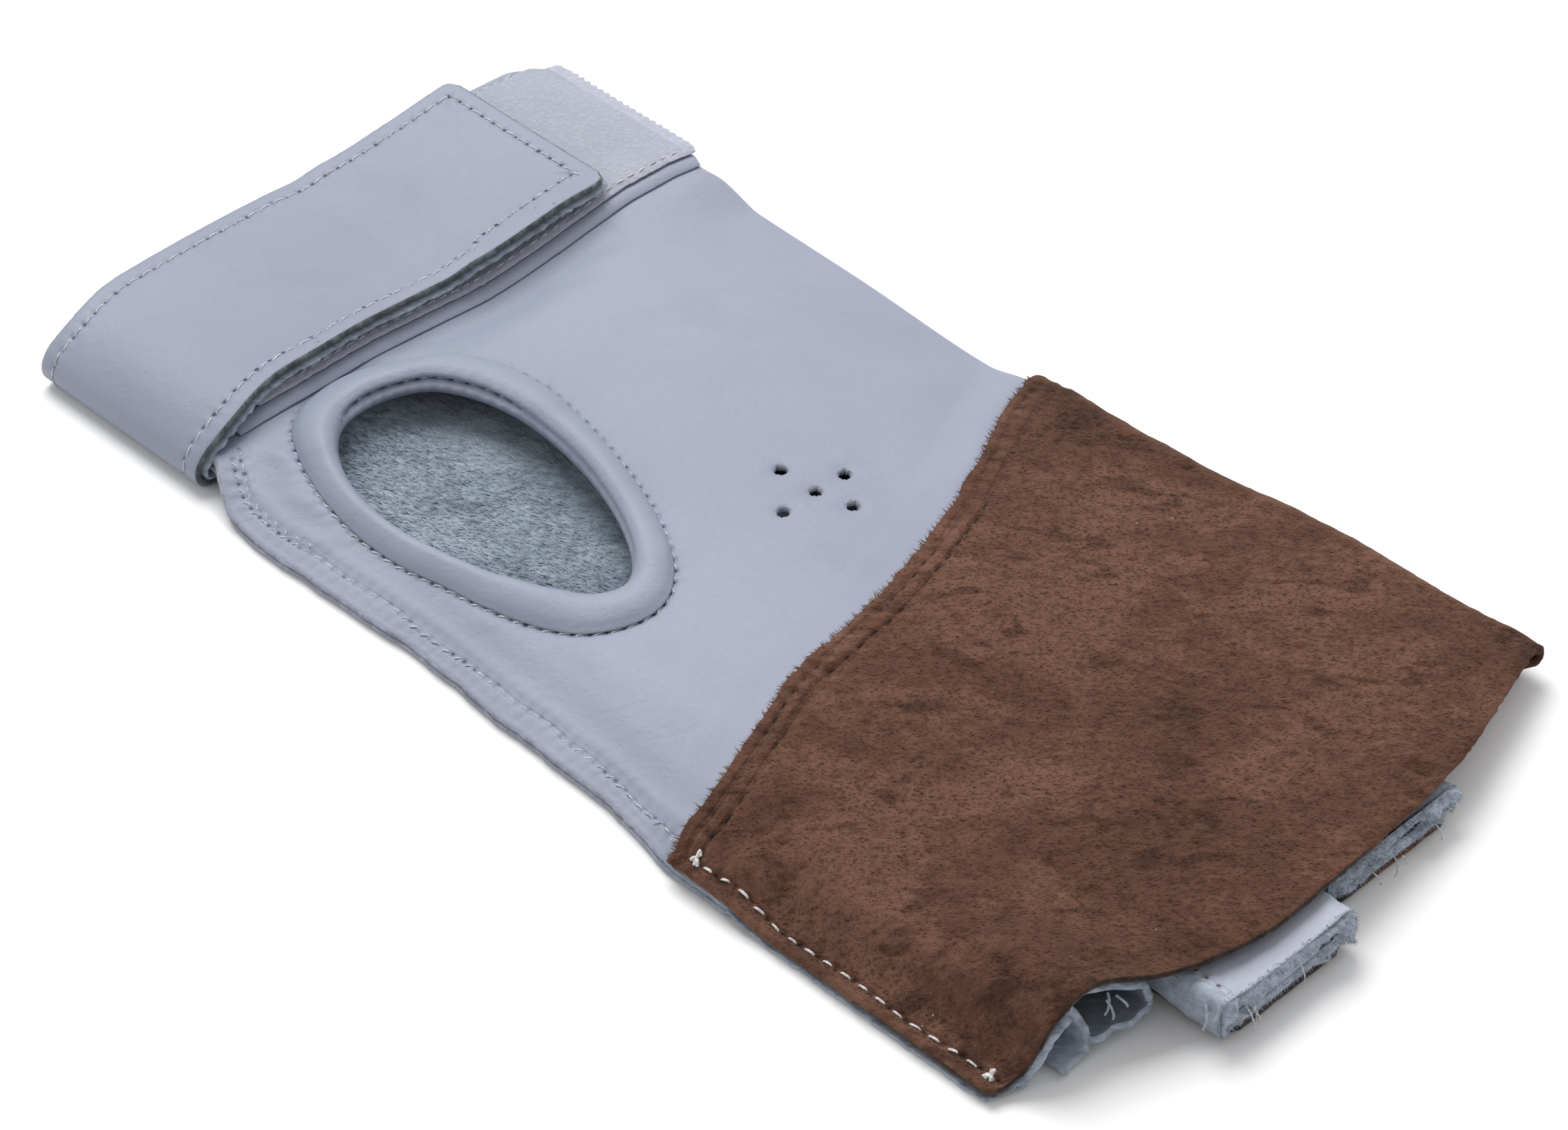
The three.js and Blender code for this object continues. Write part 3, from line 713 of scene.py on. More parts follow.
class Shader(Wiring):
    """A material while it is wired."""

    def __init__(self, name: str) -> None:
        """Starts an empty material.

        Args:
            name: the material's name.
        """
        self.material = bpy.data.materials.new(name)
        self.material.use_nodes = True
        super().__init__(self.material.node_tree)
        self.tree.nodes.clear()
        self.place = self.add("ShaderNodeTexCoord").outputs["Object"]

    def calc(self, operation: str, *values: Input) -> Socket:
        """Returns the result of a math node."""
        return self.add("ShaderNodeMath", dict(enumerate(values)), operation=operation).outputs[0]

    def scaled(self, value: Input, by: Input) -> Socket:
        """Returns one value times another."""
        return self.calc("MULTIPLY", value, by)

    def weigh(self, *terms: Input) -> Socket:
        """Returns the sum of values times their weights, given by turns."""
        parts = [self.scaled(value, weight) for value, weight in zip(terms[::2], terms[1::2])]
        return functools.reduce(lambda a, b: self.calc("ADD", a, b), parts)

    def noise(self, scale: float, detail: float = 2.0, rough: float = 0.5, stretch: float = 1.0,
              turn: float = 0.0, shift: float = 0.0, bend: float = 0.0) -> Socket:
        """Value noise of the object's own place.

        Args:
            scale: lumps per metre.
            detail: how many finer layers it has.
            rough: how strong they are.
            stretch: how many times longer the lumps are one way.
            turn: which way, as an angle about z.
            shift: moves the pattern, so that two are unlike.
            bend: distortion.

        Returns:
            The socket, from 0 to 1 about 0.5.
        """
        place = self.place
        if stretch != 1.0 or shift:
            vector = {"Vector": place, "Rotation": (0, 0, turn), "Scale": (stretch, 1, 1),
                      "Location": (shift, shift, 0)}
            place = self.add("ShaderNodeMapping", vector, vector_type="TEXTURE").outputs[0]
        inputs = {"Vector": place, "Scale": scale, "Detail": detail, "Roughness": rough, "Distortion": bend}
        return self.add("ShaderNodeTexNoise", inputs).outputs["Fac"]

    def cells(self, scale: float) -> Socket:
        """Returns the distance in a cell pattern with so many cells per metre."""
        return self.add("ShaderNodeTexVoronoi", {"Vector": self.place, "Scale": scale}).outputs["Distance"]

    def span(self, value: Input, start: float, end: float, low: float = 0.0, high: float = 1.0) -> Socket:
        """Returns low before start, high after end and a smooth step between."""
        inputs = {"Value": value, "From Min": start, "From Max": end, "To Min": low, "To Max": high}
        return self.add("ShaderNodeMapRange", inputs, interpolation_type="SMOOTHSTEP").outputs[0]

    def blend(self, share: Input, a: Input, b: Input) -> Socket:
        """Returns a colour between two others."""
        return self.add("ShaderNodeMix", {0: share, 6: a, 7: b}, data_type="RGBA").outputs[2]

    def holes(self, row: Row) -> tuple[Socket, Socket]:
        """Needle holes of a row.

        Args:
            row: the row.

        Returns:
            How dark each place is painted, the painted shade of the needle holes, and its height in
            millimetres.
        """
        uv = self.add("ShaderNodeUVMap", uv_map=row.uv).outputs[0]
        phase, side, _ = self.add("ShaderNodeSeparateXYZ", {0: uv}).outputs
        along = self.calc("SUBTRACT", self.calc("FRACT", self.calc("ADD", phase, 0.5)), 0.5)
        wobble = self.scaled(self.calc("SUBTRACT", self.noise(260, 1), 0.5), 0.5)
        side = self.calc("ABSOLUTE", self.calc("ADD", side, wobble))
        reach = [self.calc("POWER", self.calc("ABSOLUTE", self.scaled(value, size)), 2.0)
                 for value, size in ((along, row.pitch / row.hole[0]), (side, 1 / row.hole[1]))]
        away = self.calc("SQRT", self.calc("ADD", *reach))
        hole = self.span(away, *HOLE, 1.0, 0.0)
        dimple = self.span(away, *DIMPLE, 1.0, 0.0)
        valley = self.span(side, 0.0, row.channel[1], 1.0, 0.0)
        drop = self.weigh(valley, -row.channel[0], dimple, -DIMPLE_DEPTH, hole, -HOLE_DEPTH)
        if row.gather:
            wave = self.calc("COSINE", self.scaled(phase, 2 * math.pi))
            pucker = self.scaled(self.span(side, *PUCKERS, 1.0, 0.0), wave)
            drop = self.calc("SUBTRACT", drop, self.scaled(pucker, row.gather))
        return self.scaled(hole, row.dark), drop

    def finish(self, colour: Input, roughness: Input, height: Input, specular: float = 0.5,
               sheen: float = 0.0, tint: tuple = (1, 1, 1, 1)) -> Material:
        """Closes the material with one surface.

        Args:
            colour: base colour.
            roughness: roughness.
            height: relief in millimetres.
            specular: strength of the reflection.
            sheen: strength of the nap's sheen.
            tint: the sheen's colour.

        Returns:
            The material.
        """
        bump_node = self.add("ShaderNodeBump", {"Height": height, "Strength": 1.0, "Distance": MM})
        inputs = {"Base Color": colour, "Roughness": roughness, "Normal": bump_node.outputs["Normal"],
                  "Specular IOR Level": specular, "Sheen Weight": sheen, "Sheen Roughness": 0.5,
                  "Sheen Tint": tint}
        face = self.add("ShaderNodeBsdfPrincipled", inputs)
        self.add("ShaderNodeOutputMaterial", {"Surface": face.outputs[0]})
        return self.material


@dataclass(frozen=True)
class Finish:
    """A finish: its colours, and how they and the relief are painted."""

    colour: tuple
    light: tuple = (1, 1, 1, 1)
    dark: tuple = (0, 0, 0, 1)
    # Colour painted into the needle holes: painted shade in each hole.
    hole_shade: tuple = (0.03, 0.032, 0.042, 1)

    def paint(self, _: Shader) -> tuple:
        """Returns colour, roughness, height, and what else Shader.finish takes."""
        return self.colour, 0.9, 0.0, 0.1

    def make(self, name: str, rows: Sequence[Row] = ()) -> Material:
        """Makes a material.

        Args:
            name: its name.
            rows: rows of needle holes in it, each hole painted dark as painted shade.

        Returns:
            The material.
        """
        s = Shader(name)
        colour, roughness, height, *gloss = self.paint(s)
        for row in rows:
            hole, drop = s.holes(row)
            # Needle holes are painted dark: painted shade where each hole is.
            colour = s.blend(hole, colour, self.hole_shade)
            height = s.calc("ADD", height, drop)
        return s.finish(colour, roughness, height, *gloss)


@dataclass(frozen=True)
class GrainLeather(Finish):
    """Smooth pigskin-like grain: fine pores, clouds and a few specks."""

    colour: tuple = (0.252, 0.278, 0.358, 1)
    light: tuple = (0.278, 0.303, 0.384, 1)
    dark: tuple = (0.192, 0.211, 0.276, 1)
    speck: tuple = (0.1, 0.1, 0.14, 1)
    roughness: float = 0.42

    def paint(self, s: Shader) -> tuple:
        """Returns colour, roughness, height and gloss."""
        mottle = s.noise(75, 4, 0.6, shift=3.1)
        grain = s.noise(1100, 3, 0.65)
        wrinkle = s.noise(330, 3, 0.55, 2.2, turn=0.9, bend=0.4)
        pit = s.span(s.cells(820), 0.1, 0.36, 1.0, 0.0)
        colour = s.blend(s.span(s.noise(16, 3, 0.55), 0.32, 0.68), self.colour, self.light)
        colour = s.blend(s.span(mottle, 0.5, 0.78, 0.0, 0.2), colour, self.dark)
        fleck = s.span(s.cells(150), 0.045, 0.065, 0.5, 0.0)
        rare = s.span(s.noise(60, 1, shift=7.7), 0.66, 0.72)
        colour = s.blend(s.scaled(fleck, rare), colour, self.speck)
        colour = s.blend(s.scaled(pit, 0.05), colour, self.dark)
        height = s.weigh(grain, 0.07, pit, -0.02, wrinkle, 0.16, mottle, 0.1)
        rough = s.calc("ADD", self.roughness, s.weigh(grain, 0.2, mottle, 0.06))
        return colour, rough, height, 0.42


@dataclass(frozen=True)
class FleshLeather(Finish):
    """The leather's raw side: soft grey-green fibres with light tufts."""

    colour: tuple = (0.24, 0.286, 0.348, 1)
    light: tuple = (0.365, 0.418, 0.48, 1)
    dark: tuple = (0.112, 0.138, 0.172, 1)
    sheen: tuple = (0.8, 0.88, 0.92, 1)
    brushed: float = math.radians(38)

    def paint(self, s: Shader) -> tuple:
        """Returns colour, roughness, height and gloss."""
        tuft = s.noise(300, 4, 0.65, 1.8, self.brushed)
        fibre = s.noise(1200, 3, 0.65, 3.4, self.brushed, bend=0.3)
        mix = s.weigh(tuft, 0.5, fibre, 0.5)
        colour = s.blend(s.span(mix, 0.32, 0.54), self.dark, self.colour)
        colour = s.blend(s.span(mix, 0.49, 0.68), colour, self.light)
        colour = s.blend(s.span(s.noise(70, 2), 0.35, 0.7, 0.0, 0.35), colour, self.light)
        return colour, 0.95, s.weigh(tuft, 0.28, fibre, 0.18), 0.15, 0.25, self.sheen


@dataclass(frozen=True)
class CutEdge(Finish):
    """Cut thickness of a hide: a dark line with rough fibres."""

    colour: tuple = (0.225, 0.24, 0.29, 1)
    light: tuple = (0.38, 0.4, 0.47, 1)

    def paint(self, s: Shader) -> tuple:
        """Returns colour, roughness, height and gloss."""
        grit = s.noise(900, 5, 0.75)
        tuft = s.noise(320, 3, 0.6, shift=1.7)
        colour = s.blend(s.span(s.weigh(grit, 0.5, tuft, 0.5), 0.4, 0.66), self.colour, self.light)
        return colour, 0.9, s.weigh(grit, 0.25, tuft, 0.35), 0.2, 0.15


@dataclass(frozen=True)
class Suede(Finish):
    """Brown napped suede: clumped nap brushed in streaks, light and dark patches, stray white specks."""

    colour: tuple = (0.096, 0.044, 0.029, 1)
    light: tuple = (0.15, 0.075, 0.051, 1)
    dark: tuple = (0.047, 0.021, 0.014, 1)
    speck: tuple = (0.6, 0.56, 0.54, 1)
    # Near black painted into the suede's needle holes: painted shade.
    hole_shade: tuple = (0.012, 0.008, 0.008, 1)
    sheen: tuple = (0.9, 0.66, 0.52, 1)
    brushed: float = math.radians(45)

    def paint(self, s: Shader) -> tuple:
        """Returns colour, roughness, height and gloss."""
        patch = s.noise(40, 3, 0.52, 1.3, self.brushed, bend=0.2)
        clump = s.noise(330, 4, 0.65, 1.25, self.brushed)
        streak = s.noise(950, 3, 0.6, 1.9, self.brushed)
        fibre = s.noise(2300, 3, 0.7, 1.6, self.brushed)
        tone = s.weigh(patch, 0.66, clump, 0.22, streak, 0.12)
        colour = s.blend(s.span(tone, 0.4, 0.5), self.dark, self.colour)
        colour = s.blend(s.span(tone, 0.5, 0.62), colour, self.light)
        fine = s.weigh(streak, 0.4, fibre, 0.35, clump, 0.25)
        colour = s.blend(s.span(fine, 0.37, 0.5, 0.55, 0.0), colour, self.dark)
        colour = s.blend(s.span(fine, 0.51, 0.66, 0.0, 0.4), colour, self.light)
        mark = s.noise(210, 2, 0.5, 2.3, self.brushed, 2.2, 0.5)
        colour = s.blend(s.span(mark, 0.585, 0.68, 0.0, 0.6), colour, self.dark)
        fleck = s.span(s.cells(330), 0.045, 0.07, 0.5, 0.0)
        rare = s.span(s.noise(90, 1, shift=5.3), 0.63, 0.7)
        colour = s.blend(s.scaled(fleck, rare), colour, self.speck)
        return colour, 0.97, s.weigh(clump, 0.55, streak, 0.26, fibre, 0.14), 0.1, 0.15, self.sheen


@dataclass(frozen=True)
class LoopPile(Finish):
    """White loop tape: a fine mesh of loops with a loose nap."""

    colour: tuple = (0.352, 0.37, 0.425, 1)
    dark: tuple = (0.262, 0.276, 0.324, 1)
    light: tuple = (0.41, 0.43, 0.49, 1)

    def paint(self, s: Shader) -> tuple:
        """Returns colour, roughness, height and gloss."""
        loose = s.noise(600, 4, 0.7)
        gap = s.span(s.cells(950), 0.25, 0.65)
        colour = s.blend(s.scaled(gap, 0.28), self.colour, self.dark)
        colour = s.blend(s.span(loose, 0.36, 0.56, 0.12, 0.0), colour, self.dark)
        colour = s.blend(s.span(s.noise(50, 2), 0.4, 0.7, 0.0, 0.25), colour, self.light)
        return colour, 0.95, s.weigh(gap, -0.07, loose, 0.05), 0.15, 0.08


@dataclass(frozen=True)
class Thread(Finish):
    """Twisted thread of one colour."""

    colour: tuple = (0.64, 0.65, 0.69, 1)
    shade: float = 0.55

    def paint(self, s: Shader) -> tuple:
        """Returns colour, roughness, height and gloss."""
        fuzz = s.noise(1800, 3, 0.6)
        dark = tuple(self.shade * v for v in self.colour[:3]) + (1,)
        colour = s.blend(s.span(fuzz, 0.35, 0.65), dark, self.colour)
        return colour, 0.7, s.scaled(fuzz, 0.15), 0.3


# Scattered detail with geometry nodes


class Scatter(Wiring):
    """A geometry node tree while it is wired."""

    def __init__(self, name: str, inputs: dict[str, str]) -> None:
        """Starts a tree with its interface.

        Args:
            name: the tree's name.
            inputs: kind of socket by input name, beside geometry, seed and material.
        """
        super().__init__(bpy.data.node_groups.new(name, "GeometryNodeTree"))
        kinds = {"Geometry": "Geometry", **inputs, "Seed": "Int", "Material": "Material"}
        for key, kind in kinds.items():
            self.tree.interface.new_socket(key, in_out="INPUT", socket_type=f"NodeSocket{kind}")
        self.tree.interface.new_socket("Geometry", in_out="OUTPUT", socket_type="NodeSocketGeometry")
        self.given = self.tree.nodes.new("NodeGroupInput").outputs

    def random(self, kind: str, low: dict[int, object]) -> bpy.types.Node:
        """Returns a seeded random value of a kind, with its limits by input number."""
        return self.add("FunctionNodeRandomValue", {**low, "Seed": self.given["Seed"]}, data_type=kind)

    def close(self, copied: str, spots: Socket, turned: Socket, size: Socket) -> Tree:
        """Puts copies on the spots, realizes them, gives them the material and ends the tree.

        Args:
            copied: name of the input that holds the copied object.
            spots: where the copies stand.
            turned: their turns.
            size: their sizes.

        Returns:
            The tree.
        """
        shape = self.add("GeometryNodeObjectInfo", {"Object": self.given[copied]})
        placed = self.add("GeometryNodeInstanceOnPoints", {
            "Points": spots, "Instance": shape.outputs["Geometry"], "Rotation": turned, "Scale": size})
        real = self.add("GeometryNodeRealizeInstances", {"Geometry": placed.outputs[0]})
        clad = self.add("GeometryNodeSetMaterial", {
            "Geometry": real.outputs[0], "Material": self.given["Material"]})
        self.add("NodeGroupOutput", {0: clad.outputs[0]})
        return self.tree


def stitch_tree() -> Tree:
    """Returns the tree that lays one stitch after another along a line."""
    n = Scatter("stitches", {"Stitch": "Object", "Count": "Int", "Turn": "Float", "Jitter": "Float"})
    curve = n.add("GeometryNodeMeshToCurve", {0: n.given["Geometry"]})
    spots = n.add("GeometryNodeCurveToPoints", {
        "Curve": curve.outputs[0], "Count": n.given["Count"]}, mode="COUNT")
    up = n.add("GeometryNodeInputNamedAttribute", {"Name": "up"}, data_type="FLOAT_VECTOR")
    along = n.add("FunctionNodeAlignRotationToVector", {"Vector": spots.outputs["Tangent"]}, axis="X")
    level = n.add("FunctionNodeAlignRotationToVector", {
        "Rotation": along.outputs[0], "Vector": up.outputs[0]}, axis="Z", pivot_axis="X")
    spread = n.add("ShaderNodeMath", {0: n.given["Jitter"], 1: -1.0}, operation="MULTIPLY")
    angle = n.random("FLOAT", {2: spread.outputs[0], 3: n.given["Jitter"]})
    whole = n.add("ShaderNodeMath", {0: angle.outputs[1], 1: n.given["Turn"]}, operation="ADD")
    yaw = n.add("ShaderNodeCombineXYZ", {2: whole.outputs[0]})
    turned = n.add("FunctionNodeRotateRotation", {"Rotation": level.outputs[0], "Rotate By": yaw.outputs[0]},
                   rotation_space="LOCAL")
    size = n.random("FLOAT_VECTOR", {0: (0.86, 0.85, 0.85), 1: (1.12, 1.18, 1.2)})
    return n.close("Stitch", spots.outputs["Points"], turned.outputs[0], size.outputs[0])


def nap_tree() -> Tree:
    """Returns the tree that scatters fibres over faces, leaning one way."""
    n = Scatter("nap", {"Fibre": "Object", "Density": "Float", "Lean": "Vector", "Stray": "Float"})
    spots = n.add("GeometryNodeDistributePointsOnFaces", {
        "Mesh": n.given["Geometry"], "Density": n.given["Density"], "Seed": n.given["Seed"]})
    wild = n.random("FLOAT_VECTOR", {0: (-1, -1, -1), 1: (1, 1, 1)})
    part = n.add("ShaderNodeVectorMath", {0: wild.outputs[0], "Scale": n.given["Stray"]}, operation="SCALE")
    lean = n.add("ShaderNodeVectorMath", {0: part.outputs[0], 1: n.given["Lean"]}, operation="ADD")
    way = n.add("ShaderNodeVectorMath", {0: lean.outputs[0], 1: spots.outputs["Normal"]}, operation="ADD")
    turned = n.add("FunctionNodeAlignRotationToVector", {"Vector": way.outputs[0]}, axis="Z")
    size = n.random("FLOAT", {2: 0.55, 3: 1.35})
    return n.close("Fibre", spots.outputs["Points"], turned.outputs[0], size.outputs[1])


def run_tree(made: Piece, tree: Tree, inputs: dict[str, object]) -> None:
    """Runs a node tree on an object and keeps the result as a plain mesh.

    Args:
        made: the object, whose mesh is replaced.
        tree: the node tree.
        inputs: value of each named input.
    """
    modifier = made.modifiers.new("detail", "NODES")
    modifier.node_group = tree
    for item in tree.interface.items_tree:
        if item.in_out == "INPUT" and item.name in inputs:
            modifier[item.identifier] = inputs[item.name]
    made.update_tag()
    graph = bpy.context.evaluated_depsgraph_get()
    mesh = bpy.data.meshes.new_from_object(made.evaluated_get(graph), depsgraph=graph)
    made.modifiers.remove(modifier)
    made.data = mesh


def template(name: str, points: Array, quads: Sequence[Sequence[int]]) -> Piece:
    """Makes an object that the node trees copy, outside the scene.

    Args:
        name: its name.
        points: corners in millimetres.
        quads: its faces.

    Returns:
        The object.
    """
    mesh = bpy.data.meshes.new(name)
    mesh.from_pydata((np.asarray(points) * MM).tolist(), [], [list(map(int, q)) for q in quads])
    mesh.polygons.foreach_set("use_smooth", np.ones(len(quads), bool))
    mesh.update()
    return bpy.data.objects.new(name, mesh)


# A stitch's section from end to end: places as shares of its half length, and thickness as shares
STITCH: Table = {
    "at": (-1.0, -0.86, -0.55, 0.0, 0.55, 0.86, 1.0),
    "thick": (0.35, 0.8, 0.97, 1.0, 0.97, 0.8, 0.35),
}
STITCH_SIDES, STRAND_SIDES = 6, 5


def thread_shape(name: str, length: float, width: float, arch: float = 0.35) -> Piece:
    """One stitch: a short arched thread whose ends dive into their holes.

    Args:
        name: its name.
        length: its reach along the row.
        width: the thread's diameter.
        arch: how far the ends lie below the middle.

    Returns:
        The template.
    """
    sides = STITCH_SIDES
    share, thick = np.array(STITCH["at"]), width / 2 * np.array(STITCH["thick"])
    angle = turns(sides)
    x = np.repeat(share * length / 2, sides)
    y = np.outer(thick, np.cos(angle)).ravel()
    z = (np.outer(thick * 0.8, np.sin(angle)) + (width * 0.3 - arch * share**4)[:, None]).ravel()
    ids = np.arange(len(x)).reshape(-1, sides)
    ahead = np.roll(ids, -1, axis=1)
    faces = np.stack([ids[:-1], ids[1:], ahead[1:], ahead[:-1]], axis=-1).reshape(-1, 4).tolist()
    return template(name, np.stack([x, y, z], axis=1), faces + [list(ids[0]), list(ids[-1][::-1])])


def fibre_shape(name: str, length: float, width: float) -> Piece:
    """One fibre: a thin leaning spike.

    Args:
        name: its name.
        length: its height.
        width: its width at the root.

    Returns:
        The template.
    """
    a = width / 2
    points = [(-a, -a, -a), (a, -a, -a), (0, a, -a), (0.8 * a, 0, length)]
    return template(name, np.array(points), [(0, 1, 3), (1, 2, 3), (2, 0, 3)])


# Relief that every layer shares

# Creases in the top panel: ends, height and half width in millimetres
CREASES: Table = {
    "x0": (46, 48, 51, 58, 66, 45, 47, 100, 118),
    "y0": (-46, -42, -36, -50, -52, -20, 20, -50, -40),
    "x1": (60, 62, 60, 66, 74, 52, 55, 108, 132),
    "y1": (-38, -30, -24, -44, -47, 6, 44, -46, -46),
    "rise": (0.55, 0.5, 0.4, 0.4, 0.3, 0.3, 0.35, 0.25, 0.3),
    "width": (1.7, 1.9, 1.8, 1.6, 1.6, 2.2, 2.6, 2.2, 3.0),
}


def creases(x: Array, y: Array) -> Array:
    """Height of the creases at each place."""
    total = np.zeros(np.broadcast(x, y).shape)
    for x0, y0, x1, y1, rise, width in zip(*CREASES.values()):
        dx, dy = x1 - x0, y1 - y0
        run = math.hypot(dx, dy)
        share = ((x - x0) * dx + (y - y0) * dy) / run**2
        side = ((x - x0) * dy - (y - y0) * dx) / run
        side = side + 1.2 * np.sin(share * 4 + x0)
        total = total + rise * bump(side, 0, width) * bump(share, 0.5, 0.42)
    return total


def lie(x: Array, y: Array) -> Array:
    """Height by which the flattened glove undulates, the same for every layer on it."""
    across = PATTERN.across_at(x, y)
    spot = surface(x, y, 0)
    soft = 0.42 * lumps(spot, 36, 3) + 0.16 * lumps(spot, 14, 4)
    return soft * fade(across, 0.03, 0.2) * (1 - fade(across, 0.88, 1.0))


class Outline:
    """A closed outline on the top panel, and how far places are from it."""

    def __init__(self, points: Array) -> None:
        """Keeps the outline.

        Args:
            points: its corners in order, (N, 2), the inside on the left.
        """
        self.points = points
        self.step = np.roll(points, -1, axis=0) - points
        self.size = (self.step**2).sum(axis=1)

    def nearest(self, places: Array) -> tuple[Array, Array]:
        """Nearest points of the outline.

        Args:
            places: (N, 2).

        Returns:
            The nearest points and the signed distances, negative inside.
        """
        offset = places[:, None] - self.points
        share = np.clip((offset * self.step).sum(axis=2) / self.size, 0, 1)
        foot = self.points + share[..., None] * self.step
        away = places[:, None] - foot
        distance = np.linalg.norm(away, axis=2)
        best = distance.argmin(axis=1)
        pick = np.arange(len(places)), best
        inside = np.zeros(len(places), bool)
        for a, b in zip(self.points, np.roll(self.points, -1, axis=0)):
            crosses = (a[1] > places[:, 1]) != (b[1] > places[:, 1])
            if crosses.any():
                at = a[0] + (places[:, 1] - a[1]) * (b[0] - a[0]) / (b[1] - a[1] + 1e-12)
                inside ^= crosses & (places[:, 0] < at)
        return foot[pick], np.where(inside, -1, 1) * distance[pick]

    def gap(self, x: Array, y: Array, reach: float = 16.0) -> Array:
        """Signed distance of each place.

        Args:
            x: place along the hand.
            y: place across the hand.
            reach: how far round the outline's box it is measured.

        Returns:
            The distance, or FAR past the reach.
        """
        x, y = np.broadcast_arrays(np.asarray(x, float), np.asarray(y, float))
        low, high = self.points.min(axis=0) - reach, self.points.max(axis=0) + reach
        close = (x > low[0]) & (x < high[0]) & (y > low[1]) & (y < high[1])
        result = np.full(x.shape, FAR)
        if close.any():
            result[close] = self.nearest(np.stack([x[close], y[close]], axis=1))[1]
        return result


# Width of the thumb ring by the turn in degrees, from its finger end
RING_WIDTHS: Table = {
    "turn": (0, 20, 50, 76, 99, 120, 140, 160, 180, 200, 215, 230, 248, 284, 300, 320, 340, 360),
    "width": (7.6, 6.3, 5.7, 5.7, 6.5, 7.8, 8.3, 8.6, 8.6, 8.2, 6.4, 5.1, 4.6, 4.7, 5.7, 7.2, 8.3, 7.6),
}


def ring_width(turn: Array) -> Array:
    """Width of the thumb ring at each turn."""
    return column(RING_WIDTHS, "turn", "width", np.degrees(turn) % 360)


# How far beyond the ring its row of stitches lies
RING_ROW = 0.35


def ring_outline(count: int) -> Array:
    """Points round the outside of the thumb ring, where its row of stitches lies."""
    turn = turns(count)
    return PATTERN.thumb_point(turn, ring_width(turn) + RING_ROW)


RING = Outline(ring_outline(220))
# Vents: radius, depth and half width of the dimple round each, and middles from that of the five
VENT_RADIUS = 1.3
VENT_DIMPLE = (0.45, 1.9)
VENTS = np.array([(0, 0), (-7.7, -0.2), (0.1, 6.5), (6.7, 1.7), (0, -7.3)]) + (
    0.508 * PATTERN.length, 0.0795 * PATTERN.hand_width)


def hide_relief(x: Array, y: Array) -> Array:
    """Height of the top panel's own relief: valley round the thumb ring, dimples and creases.

    Args:
        x: place along the hand.
        y: place across the hand.

    Returns:
        The height.
    """
    ring = RING.gap(x, y)
    height = creases(x, y) * fade(ring, -1.0, 2.5)
    height = height - 0.22 * bump(ring, 0.0, 1.0)
    for middle in VENTS:
        height = height - VENT_DIMPLE[0] * bump(np.hypot(x - middle[0], y - middle[1]), 0, VENT_DIMPLE[1])
    edge = y - PATTERN.seam_y(x)
    return height - 0.4 * bump(edge, 3.7, 0.8) * fade(x, 46, 52)


def wrap_height(x: Array, y: Array) -> Array:
    """Top of the top panel with its relief."""
    across = PATTERN.across_at(x, y)
    pressed = PATTERN.press * PATTERN.pressed(x, across)
    return PATTERN.wrap_top(x, across) + lie(x, y) + hide_relief(x, y) - pressed


def on_hide(x: Array, y: Array) -> Array:
    """Points on the top panel with its relief."""
    return surface(x, y, wrap_height(x, y))


def on_wrap(x: Array, across: Array, lift: float = 0.0) -> Array:
    """Points on the top panel, without its own relief."""
    y = PATTERN.y_at(x, across)
    return surface(x, y, PATTERN.wrap_top(x, across) + lie(x, y) + lift)


def on_strap(x: Array, across: Array) -> Array:
    """Points on the strap's top."""
    y = PATTERN.y_at(x, across)
    return surface(x + PATTERN.skew(across), y, PATTERN.strap_top(x, across) + lie(x, y))


def on_flap(x: Array, across: Array) -> Array:
    """Points on the suede flap, without its own relief."""
    y = PATTERN.y_at(x, across)
    return surface(x, y, PATTERN.flap_top(x, across) + lie(x, y))


def fold_turn(x: Array, low: Array, high: Array, shares: Array) -> Array:
    """Half turn at the folded edge.

    Args:
        x: place of each row along the hand.
        low: height of its underside.
        high: height of its top.
        shares: shares of the half turn, from the top.

    Returns:
        The points, rows by shares.
    """
    radius = ((high - low) / 2)[:, None]
    y = PATTERN.fold_y(x)[:, None] + radius * np.sin(shares * math.pi)
    z = low[:, None] + radius * (1 + np.cos(shares * math.pi))
    return surface(x[:, None], y, z)


# Pieces


class Kit:
    """Templates, trees and materials that the pieces share."""

    def __init__(self) -> None:
        """Makes them."""
        self.stitches = stitch_tree()
        self.nap = nap_tree()
        self.flesh = FleshLeather().make("flesh side")
        self.edge = CutEdge().make("cut edge")
        self.rough = FleshLeather((0.3, 0.34, 0.41, 1), (0.45, 0.49, 0.57, 1),
                                  (0.12, 0.14, 0.17, 1)).make("rough leather")
        self.pile = LoopPile().make("loop pile")
        self.selvage = LoopPile((0.43, 0.442, 0.52, 1), (0.36, 0.372, 0.446, 1)).make("tape selvage")
        self.pale = Thread().make("pale thread")
        self.white = Thread((0.8, 0.79, 0.78, 1)).make("white thread")
        self.dark = Thread((0.03, 0.026, 0.028, 1)).make("dark thread")
        self.fine = thread_shape("fine stitch", 2.3, 0.34)
        self.hair = thread_shape("hair stitch", 1.7, 0.24, 0.25)
        self.slack = thread_shape("slack stitch", 2.5, 0.27, 0.3)
        self.dash = thread_shape("dash stitch", 2.0, 0.48, 0.35)
        # Lighter nap flesh; lining the near index curl's inside, it is painted light on a hollow that lies in
        # shade.
        self.nap_light = FleshLeather((0.27, 0.325, 0.385, 1), (0.46, 0.52, 0.58, 1),
                                      (0.13, 0.16, 0.185, 1)).make("light nap")
        self.fibre = fibre_shape("fibre", 1.0, 0.11)
        self.lock = fibre_shape("lock", 1.5, 0.2)
        self.short = fibre_shape("short fibre", 0.62, 0.1)
        self.tuft = fibre_shape("tuft", 1.15, 0.24)


KIT = Kit()


